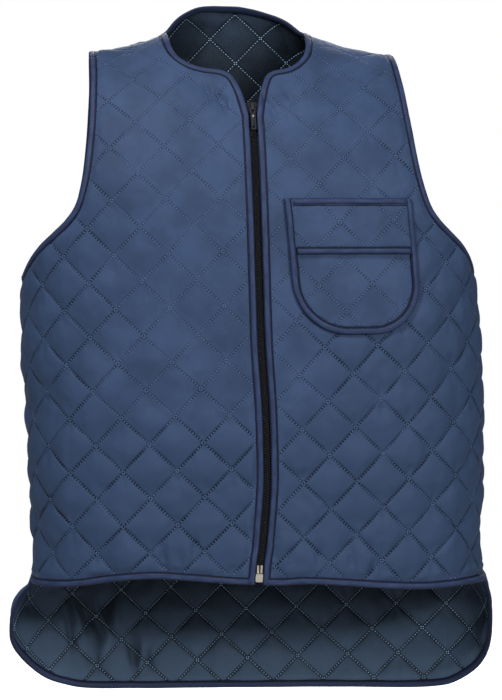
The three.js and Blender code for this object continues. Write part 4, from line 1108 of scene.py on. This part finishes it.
def toned(colour, factor):
    """The colour made darker or lighter by a factor."""
    return tuple(min(1, c * factor) for c in colour[:3]) + (1,)


class Nodes:
    """Short way to write a material's node tree."""

    def __init__(self, name):
        self.material = bpy.data.materials.new(name)
        self.material.use_nodes = True
        self.tree = self.material.node_tree
        self.shader = self.tree.nodes["Principled BSDF"]

    def add(self, kind, inputs=(), **settings):
        node = self.tree.nodes.new(kind)
        for key, value in settings.items():
            setattr(node, key, value)
        self.fill(node, inputs)
        return node

    def fill(self, node, inputs):
        for key, value in dict(inputs).items():
            if isinstance(value, bpy.types.NodeSocket):
                self.tree.links.new(value, node.inputs[key])
            else:
                node.inputs[key].default_value = value

    def surface(self, inputs):
        self.fill(self.shader, inputs)
        return self.material

    def math(self, operation, *values):
        return self.add("ShaderNodeMath", enumerate(values), operation=operation).outputs[0]

    def product(self, first, *others):
        for other in others:
            first = self.math("MULTIPLY", first, other)
        return first

    def total(self, first, *others):
        for other in others:
            first = self.math("ADD", first, other)
        return first

    def attribute(self, name):
        return self.add("ShaderNodeAttribute", attribute_name=name).outputs["Vector"]

    def place(self):
        return self.add("ShaderNodeNewGeometry").outputs["Position"]

    def split(self, vector):
        return self.add("ShaderNodeSeparateXYZ", {"Vector": vector}).outputs[:3]

    def noise(self, vector, scale, detail=2.0, roughness=0.5, distortion=0.0):
        """Noise of a vector, whose parts are first multiplied by the scale's parts."""
        scaled = self.add("ShaderNodeVectorMath", {0: vector, 1: scale}, operation="MULTIPLY").outputs[0]
        return self.add("ShaderNodeTexNoise", {
            "Vector": scaled,
            "Scale": 1.0,
            "Detail": detail,
            "Roughness": roughness,
            "Distortion": distortion,
        }).outputs["Fac"]

    def mix(self, factor, first, second):
        inputs = {"Factor": factor, "A": first, "B": second}
        return self.add("ShaderNodeMix", inputs, data_type="RGBA").outputs["Result"]

    def ramp(self, value, low, high):
        span = {"Value": value, "From Min": low, "From Max": high}
        return self.add("ShaderNodeMapRange", span, interpolation_type="SMOOTHSTEP").outputs["Result"]

    def bump(self, height, strength, distance, normal=None):
        inputs = {"Height": height, "Strength": strength, "Distance": distance}
        if normal is not None:
            inputs["Normal"] = normal
        return self.add("ShaderNodeBump", inputs).outputs["Normal"]


def line_distance(nodes, coordinate):
    """Distance in millimetres to the nearest stitch line along one lattice coordinate."""
    share = nodes.math("FRACT", nodes.total(coordinate, 0.5))
    return nodes.product(nodes.math("ABSOLUTE", nodes.total(share, -0.5)), QUILT_SIDE)


def weave_height(nodes, across, up, pitch):
    """Plain weave of fine threads."""
    turn = 2 * math.pi / pitch
    return nodes.product(*(nodes.math("SINE", nodes.product(way, turn)) for way in (across, up)))


def needle_holes(nodes, near, along):
    """One at the needle holes between the stitches of a line, nought in the middle of each stitch."""
    turn = nodes.product(along, 2 * math.pi * STITCHES_A_SIDE)
    return nodes.product(nodes.ramp(near, 2.4, 0.6), nodes.ramp(nodes.math("COSINE", turn), -0.3, 0.6))


# Reach of the occlusion that paints shade on the lining
LINING_SHADE_REACH = 0.35


def quilt_material(name, light, dark, side_shade_sheen, lining, roughness):
    nodes = Nodes(name)
    cloth, lattice = nodes.attribute("cloth"), nodes.attribute("lattice")
    across, up, outside = nodes.split(cloth)
    a, b, full = nodes.split(lattice)
    near_a, near_b = line_distance(nodes, a), line_distance(nodes, b)
    nearest = nodes.math("MINIMUM", near_a, near_b)
    mottle = nodes.noise(cloth, (0.016, 0.016, 0), 4.0, 0.6)
    slub = nodes.noise(cloth, (0.9, 0.9, 0), 3.0, 0.6)
    colour = nodes.mix(nodes.ramp(mottle, 0.3, 0.7), light, dark)
    # Painted shade and sheen: a darker teal where the cloth is fuller, at the sides and lower down
    colour = nodes.mix(nodes.ramp(full, 0.4, 1.3), colour, side_shade_sheen)
    colour = nodes.mix(nodes.product(nodes.ramp(slub, 0.35, 0.75), 0.22), colour, dark)
    # Painted shade on the lining: darker where the garment closes round it, by an occlusion node, and along
    # its stitch lines
    painted_occlusion = nodes.add("ShaderNodeAmbientOcclusion", {"Distance": LINING_SHADE_REACH}, samples=8).outputs["AO"]
    groove_shade = nodes.total(nodes.product(nodes.ramp(nearest, 0.4, 3.2), 0.55), 0.45)
    depth = nodes.product(nodes.ramp(painted_occlusion, 0.56, 0.98), groove_shade)
    inner = nodes.math("LESS_THAN", outside, 0.0)
    colour = nodes.mix(inner, colour, nodes.mix(depth, toned(lining, 0.07), lining))
    # Painted shade in the needle holes and the ditch of the stitch line, darker where the thread is tighter
    slack = nodes.ramp(nodes.noise(cloth, (0.035, 0.035, 0)), 0.25, 0.65)
    tightness = nodes.product(nodes.total(slack, 0.3), nodes.total(nodes.product(full, 0.6), 0.35))
    holes = nodes.math("MAXIMUM", needle_holes(nodes, near_a, b), needle_holes(nodes, near_b, a))
    holes = nodes.product(holes, tightness)
    ditch = nodes.product(nodes.ramp(nearest, 1.3, 0.1), tightness, 0.6)
    shade = nodes.product(nodes.math("MAXIMUM", ditch, holes), 0.9)
    # Short puckers at the thread, soft crinkles of thin nylon, and the weave
    gathers = nodes.total(*(
        nodes.product(nodes.noise(lattice, scale, 2.0, 0.5, 0.2), nodes.ramp(near, 7.0, 0.5))
        for scale, near in (((2.0, 15.0, 0), near_a), ((15.0, 2.0, 0), near_b))
    ))
    normal = nodes.bump(nodes.noise(cloth, (0.06, 0.04, 0), 3.0, 0.55, 0.6), 0.5, 0.0022)
    normal = nodes.bump(gathers, 0.6, 0.0012, normal)
    normal = nodes.bump(nodes.math("SUBTRACT", 1.0, holes), 0.5, 0.0005, normal)
    normal = nodes.bump(weave_height(nodes, across, up, 0.55), 0.12, 0.00008, normal)
    return nodes.surface({
        "Base Color": nodes.mix(shade, colour, toned(dark, 0.08)),
        "Normal": normal,
        "Roughness": nodes.total(nodes.product(slub, 0.16), roughness - 0.08),
        "Specular IOR Level": 0.16,
        "Sheen Weight": 0.06,
        "Sheen Roughness": 0.45,
        "Sheen Tint": (0.55, 0.65, 0.9, 1),
    })


def binding_material(name, light, dark, inner, seam_shade_colour):
    nodes = Nodes(name)
    cloth = nodes.attribute("cloth")
    along, around, signed_share = nodes.split(cloth)
    share = nodes.math("ABSOLUTE", signed_share)
    mottle = nodes.noise(cloth, (0.05, 0.2, 0), 3.0, 0.6)
    rib = nodes.math("SINE", nodes.product(nodes.total(along, nodes.product(around, 0.35)), 7.0))
    wave = nodes.noise(cloth, (0.22, 0.08, 0), 3.0, 0.6, 0.5)
    colour = nodes.mix(nodes.ramp(mottle, 0.3, 0.7), light, dark)
    colour = nodes.mix(nodes.product(nodes.ramp(rib, 0.2, 1.0), 0.2), colour, dark)
    # Painted shade: the inner face of the binding takes a darker copy of its colour
    colour = nodes.mix(nodes.ramp(signed_share, 0.02, -0.02), colour, inner)
    # Painted shade: dark lines along the sewn side, where the binding meets the cloth, and round its folded
    # edge
    rim = nodes.product(nodes.ramp(share, 0.13, 0.04), 0.7)
    shade = nodes.product(nodes.math("MAXIMUM", nodes.ramp(share, 0.66, 0.77), rim), 0.95)
    return nodes.surface({
        "Base Color": nodes.mix(shade, colour, seam_shade_colour),
        "Normal": nodes.bump(rib, 0.18, 0.00012, nodes.bump(wave, 0.5, 0.0011)),
        "Roughness": nodes.total(nodes.product(wave, 0.14), 0.48),
        "Specular IOR Level": 0.2,
        "Sheen Weight": 0.06,
        "Sheen Roughness": 0.4,
        "Sheen Tint": (0.55, 0.6, 0.95, 1),
    })


def thread_material(name, colour):
    nodes = Nodes(name)
    strand = nodes.noise(nodes.place(), (2600, 2600, 2600))
    return nodes.surface({
        "Base Color": nodes.mix(strand, toned(colour, 0.6), colour),
        "Normal": nodes.bump(strand, 0.3, 0.0001),
        "Roughness": 0.5,
    })


def tape_material(name, dark, light):
    nodes = Nodes(name)
    cloth = nodes.attribute("cloth")
    along, around, _ = nodes.split(cloth)
    return nodes.surface({
        "Base Color": nodes.mix(nodes.noise(cloth, (0.3, 0.3, 0), 3.0), dark, light),
        "Normal": nodes.bump(weave_height(nodes, along, around, 0.9), 0.4, 0.0002),
        "Roughness": 0.75,
    })


def plastic_material(name, colour):
    nodes = Nodes(name)
    grain = nodes.noise(nodes.place(), (900, 900, 900), 3.0)
    return nodes.surface({
        "Base Color": nodes.mix(grain, colour, toned(colour, 1.8)),
        "Normal": nodes.bump(grain, 0.1, 0.0001),
        "Roughness": 0.38,
    })


def metal_material(name, colour, highlight_and_worn_colour, metallic, roughness):
    """Small cast metal with fine scratches, lighter rubbed blotches and a painted highlight on its sharp
    edges.
    """
    nodes = Nodes(name)
    place = nodes.place()
    scratch = nodes.noise(place, (900, 900, 120), 4.0, 0.6)
    blotch = nodes.noise(place, (350, 350, 350), 3.0)
    # Painted highlight: sharp edges take the lighter colour
    edge = nodes.ramp(nodes.add("ShaderNodeNewGeometry").outputs["Pointiness"], 0.52, 0.62)
    edge_highlight_and_wear = nodes.math("MAXIMUM", edge, nodes.product(nodes.ramp(blotch, 0.6, 0.85), 0.3))
    return nodes.surface({
        "Base Color": nodes.mix(edge_highlight_and_wear, colour, highlight_and_worn_colour),
        "Normal": nodes.bump(scratch, 0.12, 0.0001),
        "Roughness": nodes.total(nodes.product(scratch, 0.25), roughness - 0.12),
        "Metallic": metallic,
    })


NAVY_LIGHT = srgb(67, 87, 124)
NAVY_DARK = srgb(54, 72, 102)
# Darker teal that paints shade and sheen on the sides and lower part
NAVY_SIDE_SHADE_SHEEN = srgb(57, 76, 107)
LINING = srgb(84, 106, 132)
BINDING_LIGHT = srgb(57, 73, 110)
BINDING_DARK = srgb(44, 57, 88)
BINDING_INNER_SHADE = srgb(50, 63, 94)
BINDING_SEAM_SHADE = srgb(13, 19, 48)
cloth_look = quilt_material("quilted_nylon", NAVY_LIGHT, NAVY_DARK, NAVY_SIDE_SHADE_SHEEN, LINING, 0.62)
binding_look = binding_material("binding_tape", BINDING_LIGHT, BINDING_DARK, BINDING_INNER_SHADE, BINDING_SEAM_SHADE)
thread_look = thread_material("thread", srgb(112, 146, 196))
# Painted highlight: the stitches inside take a much lighter copy of the quilting thread's colour
inner_thread_highlight_look = thread_material("inner_thread", srgb(176, 216, 250))
binding_thread_look = thread_material("binding_thread", srgb(34, 41, 62))
tape_look = tape_material("zip_tape", srgb(16, 18, 26), srgb(28, 31, 42))
coil_look = plastic_material("zip_coil", srgb(10, 11, 15))
slider_look = metal_material("slider_enamel", srgb(5, 6, 9), srgb(58, 61, 70), 0.2, 0.3)
nickel_look = metal_material("nickel", srgb(176, 170, 150), srgb(236, 230, 212), 0.9, 0.36)

# Quilted panels
PANEL_UNDER = 1.6
SEWN = BINDING_WIDTH - PANEL_UNDER
SEAM = 0.1
OUTER_PUFF = 5.4
INNER_PUFF = 3.8
FRONT_INNER_PUFF = 1.9
# Width of the calm strip along an edge, and cells along a diamond's side
PANEL_MARGIN = 9
FRONT_CELLS = 16
BACK_CELLS = 12
names = {-1: "right", 1: "left"}
fronts = {side: front_loop(side) for side in (-1, 1)}
back = back_loop()

pocket_outline = pocket_edge(0, 0)


# Bounds of the chest round the pocket, and the most that the chest rises under it and beside it
POCKET_ACROSS = (20, 205)
POCKET_UP = (-375, -190)
FAR_AWAY = 50.0
MOST_RISE = 3.1
RISE_BESIDE = 3.0
BESIDE = (1.0, 9.0)


def under_pocket(across, up):
    """Keeps the chest below the pocket that lies on it."""
    spots = np.stack([across, up], axis=1)
    near = np.full(len(spots), FAR_AWAY)
    box = (across > POCKET_ACROSS[0]) & (across < POCKET_ACROSS[1])
    box &= (up > POCKET_UP[0]) & (up < POCKET_UP[1])
    within = inside(pocket_outline, spots[box])
    away = distance_to(pocket_outline, spots[box])
    near[box] = np.where(within, -away, away)
    return MOST_RISE + RISE_BESIDE * smooth(*BESIDE, near)


front_layers = {
    "outer": HALF_WALL,
    "outer_puff": OUTER_PUFF,
    "inner": -HALF_WALL,
    "inner_puff": FRONT_INNER_PUFF,
    "margin": PANEL_MARGIN,
}
back_layers = dict(front_layers, inner_puff=INNER_PUFF)
front_insets = {"shoulder": SEAM, "neck": SEWN, "front": SEWN, "hem": SEWN, "side": SEAM, "arm": SEWN}
panels = {}
for side in (-1, 1):
    name = names[side]
    layers = dict(front_layers, ceiling=under_pocket) if side > 0 else front_layers
    quilt = QUILT_START[name]
    outline = inset_edges(fronts[side], front_insets)
    piece, outline = quilt_panel(
        f"quilted_front_{name}", "front", side, outline, quilt, FRONT_CELLS, layers, cloth_look
    )
    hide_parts(f"front_panel_{name}")
    panels[name] = outline
    lift = HALF_WALL + THREAD_LIFT
    threads = quilt_stitches(f"quilting_front_{name}", "front", outline, quilt, lift, thread_look)

back_insets = {
    "shoulder_left": SEAM, "nape": SEWN, "shoulder_right": SEAM, "arm_right": SEWN,
    "side_right": SEAM, "tail": SEWN, "side_left": SEAM, "arm_left": SEWN,
}
quilt = QUILT_START["back"]
piece, back_outline = quilt_panel(
    "quilted_back", "back", 1, inset_edges(back, back_insets), quilt, BACK_CELLS, back_layers, cloth_look
)
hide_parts("back_panel")
lift = HALF_WALL + THREAD_LIFT
threads = quilt_stitches("quilting_back", "back", back_outline, quilt, lift, thread_look)
lift = -HALF_WALL - INNER_THREAD_LIFT
threads = quilt_stitches(
    "quilting_back_inside", "back", back_outline, quilt, lift,
    inner_thread_highlight_look, False, INNER_THREAD_HALF_WIDTH,
)

# Edge bindings
no_inset = {name: 0 for name in ("shoulder", "neck", "front", "hem", "side", "arm")}
no_back_inset = {name: 0 for name in back_insets}
runs = {"outer": [], "inner": []}


def add_binding(name, parts, node, closed=False):
    """parts are (face, side, near, far, reverse) one after another round the edge."""
    rings = []
    for face, side, near, far, reverse, trim in parts:
        made = binding_rings(face, side, near, far, BINDING_SECTION)
        for key, lift in (("outer", SEWN_LIFT), ("inner", -SEWN_LIFT)):
            runs[key].append(sewn_run(face, side, near, far, lift))
        if reverse:
            made = made[::-1]
        rings.append(made[1:-1] if trim else made)
    shares = [share if lift >= 0 else -share for share, lift in BINDING_SECTION]
    piece = loft(name, np.concatenate(rings), binding_look, closed, shares)
    fix_normals(piece)
    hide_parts(node)


neck_pairs = {side: edge_pair(fronts[side], ["neck", "front"], no_inset, BINDING_WIDTH) for side in (-1, 1)}
nape_pair = edge_pair(back, ["nape"], no_back_inset, BINDING_WIDTH)
add_binding("neck_and_front_tape", [
    ("front", 1, *neck_pairs[1], True, False),
    ("back", 1, *nape_pair, False, True),
    ("front", -1, *neck_pairs[-1], False, False),
], "neck_and_front_binding")
for side in (-1, 1):
    name = names[side]
    add_binding(f"armhole_tape_{name}", [
        ("front", side, *edge_pair(fronts[side], ["arm"], no_inset, BINDING_WIDTH), False, False),
        ("back", 1, *edge_pair(back, [f"arm_{name}"], no_back_inset, BINDING_WIDTH), side > 0, True),
    ], f"armhole_binding_{name}", closed=True)
    hem_inset = dict(no_inset, front=BINDING_WIDTH + 0.1, side=SEAM)
    add_binding(f"hem_tape_{name}", [
        ("front", side, *edge_pair(fronts[side], ["hem"], hem_inset, BINDING_WIDTH), False, False),
    ], f"front_hem_binding_{name}")
tail_inset = dict(no_back_inset, side_right=SEAM, side_left=SEAM)
add_binding("tail_tape", [
    ("back", 1, *edge_pair(back, ["tail"], tail_inset, BINDING_WIDTH), False, False),
], "tail_binding")
for key, found in runs.items():
    threads = edge_stitches(f"binding_threads_{key}", found, binding_thread_look)

# Chest pocket
POCKET_UNDER = 1.5
POCKET_OUTER_PUFF = 1.9
POCKET_MARGIN = 6
pocket_inset = POCKET_BINDING_WIDTH - POCKET_UNDER
pocket_sides = (pocket_inset, POCKET["width"] - pocket_inset)
POCKET_FULLNESS = 0.3
full_pocket = lambda face, across, up: np.ones_like(across) * POCKET_FULLNESS
flap_base = POCKET_LIFT + POCKET_WALL + POCKET_PUFF + PIECE_GAP
pouch_outline = np.concatenate([
    pocket_edge(POUCH_TOP, pocket_inset)[:-1],
    pocket_line(pocket_sides[1], POUCH_TOP, pocket_sides[0], POUCH_TOP)[:-1],
])
flap_bottom = FLAP_LENGTH - BINDING_WIDTH + POCKET_UNDER
flap_outline = np.concatenate([
    pocket_line(pocket_sides[0], POCKET_UNDER, pocket_sides[0], flap_bottom)[:-1],
    pocket_line(pocket_sides[0], flap_bottom, pocket_sides[1], flap_bottom)[:-1],
    pocket_line(pocket_sides[1], flap_bottom, pocket_sides[1], POCKET_UNDER)[:-1],
    pocket_line(pocket_sides[1], POCKET_UNDER, pocket_sides[0], POCKET_UNDER)[:-1],
])
for name, node, outline, base in (
    ("pocket_pouch_cloth", "pocket_pouch", pouch_outline, POCKET_LIFT),
    ("pocket_flap_cloth", "pocket_flap", flap_outline, flap_base),
):
    quilt = QUILT_START[node.split("_")[1]]
    layers = {
        "outer": base + POCKET_WALL,
        "outer_puff": POCKET_OUTER_PUFF,
        "inner": base,
        "inner_puff": 0.0,
        "margin": POCKET_MARGIN,
    }
    piece, outline = quilt_panel(
        name, "front", 1, outline, quilt, FRONT_CELLS, layers, cloth_look, full_pocket
    )
    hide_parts(node)
    lift = base + POCKET_WALL + THREAD_LIFT
    threads = quilt_stitches(f"{node}_quilting", "front", outline, quilt, lift, thread_look)


def laid_section(base, height):
    """Section of a tape that lies on the chest, with a stitched ditch near one edge."""
    rises = [
        (1.0, 0), (1.0, 0.55), (0.96, 0.8), (0.88, 0.8), (0.8, 0.62), (0.72, 0.82),
        (0.55, 0.98), (0.35, 1.0), (0.2, 0.9), (0.05, 0.72), (-0.02, 0.4), (-0.02, 0),
    ]
    return [(share, base + height * rise) for share, rise in rises]


def add_laid_binding(name, node, near, far, base, height, sewn):
    section = laid_section(base, height)
    rings = binding_rings("front", 1, near, far, section, 0.25)
    piece = loft(name, rings, binding_look, shares=[share for share, _ in section])
    fix_normals(piece)
    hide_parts(node)
    threads = edge_stitches(f"{name}_threads", [
        sewn_run("front", 1, near, far, base + height * lift, share) for share, lift in sewn
    ], binding_thread_look)


SIDE_TAPE_HEIGHT = 4.0
FLAP_TAPE_HEIGHT = 3.6
# Stitch lines of a laid tape: share of its width, and share of its height
LAID_SEAM = [(0.8, 0.66)]
add_laid_binding(
    "pocket_side_tape", "pocket_side_binding", pocket_edge(0, 0), pocket_edge(0, POCKET_BINDING_WIDTH),
    POCKET_LIFT, SIDE_TAPE_HEIGHT, LAID_SEAM,
)
inner_sides = (POCKET_BINDING_WIDTH + 0.1, POCKET["width"] - POCKET_BINDING_WIDTH - 0.1)
FLAP_BAND_CROWN = 0.8
flap_height = flap_base + POCKET_WALL + POCKET_PUFF - POCKET_LIFT + FLAP_BAND_CROWN
add_laid_binding(
    "flap_top_tape", "flap_top_binding",
    pocket_line(inner_sides[0], 0, inner_sides[1], 0),
    pocket_line(inner_sides[0], POCKET_BINDING_WIDTH, inner_sides[1], POCKET_BINDING_WIDTH),
    POCKET_LIFT, flap_height, LAID_SEAM,
)
add_laid_binding(
    "flap_edge_tape", "flap_edge_binding",
    pocket_line(inner_sides[0], FLAP_LENGTH, inner_sides[1], FLAP_LENGTH),
    pocket_line(inner_sides[0], FLAP_LENGTH - BINDING_WIDTH, inner_sides[1], FLAP_LENGTH - BINDING_WIDTH),
    flap_base, FLAP_TAPE_HEIGHT, LAID_SEAM,
)

# Zip
slider_up = float(cloth_at("front", 0, SLIDER_TOP)[1][0])
box_bottom = max(front_corner(-1)[1], front_corner(1)[1]) + ZIP_BOX_RISE
coil_bottom = box_bottom + ZIP_BOX_HEIGHT + ZIP_PIN_LENGTH + 2 * PIECE_GAP
coil_top = slider_up - SLIDER_LENGTH - PIECE_GAP
coil_low = ZIP_TAPE_TOP + PIECE_GAP
TAPE_SECTION = [
    (0.0, 0.0), (0.0, 0.8), (0.06, 1.0), (0.17, 1.0), (0.2, 0.7), (0.26, 0.95), (0.5, 1.0),
    (0.75, 1.0), (0.97, 0.9), (1.0, 0.5), (0.97, 0.0),
]


def closing_line(up):
    return sway(cloth_point("front", 0, up)[:, 2])


def add_tape(side):
    up = np.arange(slider_up + 2, box_bottom, -EDGE_STEP)
    centre = closing_line(up)
    rings = []
    for share, rise in TAPE_SECTION:
        away = ZIP_HALF_GAP + (ZIP_TAPE_WIDTH - ZIP_HALF_GAP) * share
        lift = ZIP_TAPE_TOP - ZIP_TAPE_THICKNESS * (1 - rise)
        rings.append(lifted("front", centre + side * away, up, lift))
    piece = loft(f"zip_tape_cloth_{names[side]}", np.stack(rings, axis=1), tape_look)
    fix_normals(piece)
    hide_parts(f"zip_tape_{names[side]}")


TOOTH_PITCH = 3.0
TOOTH_HEIGHT = 1.25
TOOTH_RINGS = [(0.0, 0.35), (0.12, 0.85), (0.3, 1.0), (0.7, 0.9), (0.9, 0.95), (1.0, 0.55)]
TOOTH_SIDES = 8
# How far a tooth reaches past the middle of the zip
TOOTH_OVERLAP = 0.55


def add_coil(side):
    """Row of rounded loops that reach across the middle between those of the other row."""
    up = np.arange(coil_top, coil_bottom, -TOOTH_PITCH) - (TOOTH_PITCH / 2 if side > 0 else 0)
    centre = closing_line(up)
    middle = coil_low + ZIP_COIL_HEIGHT / 2
    points = []
    for share, size in TOOTH_RINGS:
        away = -TOOTH_OVERLAP + (ZIP_HALF_GAP + ZIP_COIL_WIDTH + TOOTH_OVERLAP) * share
        for k in range(TOOTH_SIDES):
            angle = 2 * math.pi * k / TOOTH_SIDES
            rise = TOOTH_HEIGHT / 2 * size * math.sin(angle)
            lift = middle + ZIP_COIL_HEIGHT / 2 * size * math.cos(angle)
            points.append(lifted("front", centre + side * away, up + rise, lift))
    points = np.stack(points, axis=1)
    size = points.shape[1]
    pattern = []
    for ring in range(len(TOOTH_RINGS) - 1):
        for k in range(TOOTH_SIDES):
            here, there, turn = ring * TOOTH_SIDES, (ring + 1) * TOOTH_SIDES, (k + 1) % TOOTH_SIDES
            pattern.append((here + k, here + turn, there + turn, there + k))
    pattern.append(tuple(range(TOOTH_SIDES))[::-1])
    pattern.append(tuple(size - TOOTH_SIDES + k for k in range(TOOTH_SIDES)))
    faces = []
    for tooth in range(len(points)):
        faces.extend([[tooth * size + i for i in face] for face in pattern])
    piece = make_object(f"zip_teeth_{names[side]}", points.reshape(-1, 3), faces, coil_look)
    fix_normals(piece)
    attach(piece, BODY_NAME)
    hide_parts(f"zip_coil_{names[side]}")


for side in (-1, 1):
    add_tape(side)
    add_coil(side)


def dress(node, material, bevel):
    """Better finish and softened edges for a metal piece of the frame."""
    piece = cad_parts[node]
    piece.data.materials.clear()
    piece.data.materials.append(material)
    modifier = piece.modifiers.new("soft_edges", "BEVEL")
    modifier.width = bevel
    modifier.segments = 2
    modifier.limit_method = "ANGLE"
    modifier.angle_limit = math.radians(40)
    modifier.harden_normals = True
    piece.data.polygons.foreach_set("use_smooth", np.ones(len(piece.data.polygons), bool))


RIVET_PLACE = 0.4
RIVET_SIDES = 16
RIVET_DOME = [(1.35, -0.4), (1.35, 0.1), (1.15, 0.45), (0.7, 0.72), (0.25, 0.82)]


def add_rivet():
    """Bright rivet in the front of the puller."""
    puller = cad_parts["zip_puller"]
    spots = np.array([puller.matrix_world @ corner.co for corner in puller.data.vertices]) / SCALE
    top, bottom = spots[:, 2].max(), spots[:, 2].min()
    ends = [spots[spots[:, 2] > top - 3], spots[spots[:, 2] < bottom + 3]]
    fronts_at = [np.array([(end[:, 0].min() + end[:, 0].max()) / 2, end[:, 1].min()]) for end in ends]
    x, y = fronts_at[0] + (fronts_at[1] - fronts_at[0]) * RIVET_PLACE
    height = top + (bottom - top) * RIVET_PLACE
    turn = np.arange(RIVET_SIDES) * 2 * math.pi / RIVET_SIDES
    rings = np.stack([
        np.stack([x + radius * np.cos(turn), y - lift + 0 * turn, height + radius * np.sin(turn)], axis=1)
        for radius, lift in RIVET_DOME
    ])
    piece = loft("puller_rivet", rings, nickel_look)
    fix_normals(piece)
    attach(piece, "puller")


add_rivet()
for node, material, bevel in (
    ("zip_slider", slider_look, 0.0003),
    ("zip_puller", slider_look, 0.0002),
    ("zip_box", nickel_look, 0.0004),
    ("zip_pin_right", nickel_look, 0.0003),
    ("zip_pin_left", nickel_look, 0.0003),
):
    dress(node, material, bevel)

# Studio: pale floor, white surround and soft lights
FLOOR_HEIGHT = -1.15
FLOOR_REACH = 14
LIGHTS = table("name place target size power", [
    ("key", (-1.15, -1.9, 2.2), (0, 0, -0.35), (0.6, 0.6), 69),
    ("fill", (1.3, -2.7, 0.4), (0, 0, -0.4), (0.8, 0.4), 37),
    ("top", (0, 0.4, 2.2), (0, 0, 0), (2.0, 1.6), 3),
    ("behind", (0.4, 3.0, 0.8), (0, 0, -0.3), (2.4, 1.8), 70),
])


def make_floor():
    nodes = Nodes("pale_floor")
    grain = nodes.noise(nodes.place(), (6, 6, 6), 3.0)
    seen = nodes.add("ShaderNodeLightPath").outputs["Is Camera Ray"]
    material = nodes.surface({
        "Base Color": nodes.mix(grain, (0.5, 0.5, 0.5, 1), (0.54, 0.54, 0.54, 1)),
        "Roughness": 0.9,
        "Emission Color": (1, 1, 1, 1),
        "Emission Strength": nodes.product(seen, 0.95),
    })
    mesh = bpy.data.meshes.new("floor")
    corners = [(x * FLOOR_REACH, y * FLOOR_REACH, 0) for x, y in ((-1, -1), (1, -1), (1, 1), (-1, 1))]
    mesh.from_pydata(corners, [], [(0, 1, 2, 3)])
    floor = bpy.data.objects.new("floor", mesh)
    floor.location.z = FLOOR_HEIGHT
    mesh.materials.append(material)
    bpy.context.scene.collection.objects.link(floor)


def add_light(name, place, target, size, power):
    data = bpy.data.lights.new(name, "AREA")
    data.shape = "RECTANGLE"
    data.size, data.size_y = size
    data.energy = power
    light = bpy.data.objects.new(name, data)
    light.location = place
    light.rotation_mode = "QUATERNION"
    light.rotation_quaternion = (Vector(target) - Vector(place)).to_track_quat("-Z", "Y")
    bpy.context.scene.collection.objects.link(light)


def make_world():
    world = bpy.data.worlds.new("studio")
    world.use_nodes = True
    tree = world.node_tree
    tree.nodes.clear()
    seen = tree.nodes.new("ShaderNodeBackground")
    seen.inputs["Color"].default_value = (1, 1, 1, 1)
    seen.inputs["Strength"].default_value = 1.0
    fill = tree.nodes.new("ShaderNodeBackground")
    fill.inputs["Color"].default_value = (0.94, 0.97, 1, 1)
    fill.inputs["Strength"].default_value = 0.09
    path = tree.nodes.new("ShaderNodeLightPath")
    mixer = tree.nodes.new("ShaderNodeMixShader")
    output = tree.nodes.new("ShaderNodeOutputWorld")
    tree.links.new(path.outputs["Is Camera Ray"], mixer.inputs[0])
    tree.links.new(fill.outputs[0], mixer.inputs[1])
    tree.links.new(seen.outputs[0], mixer.inputs[2])
    tree.links.new(mixer.outputs[0], output.inputs[0])
    bpy.context.scene.world = world


make_floor()
make_world()
for light in LIGHTS:
    add_light(**light)
bpy.context.scene.view_settings.view_transform = "Standard"
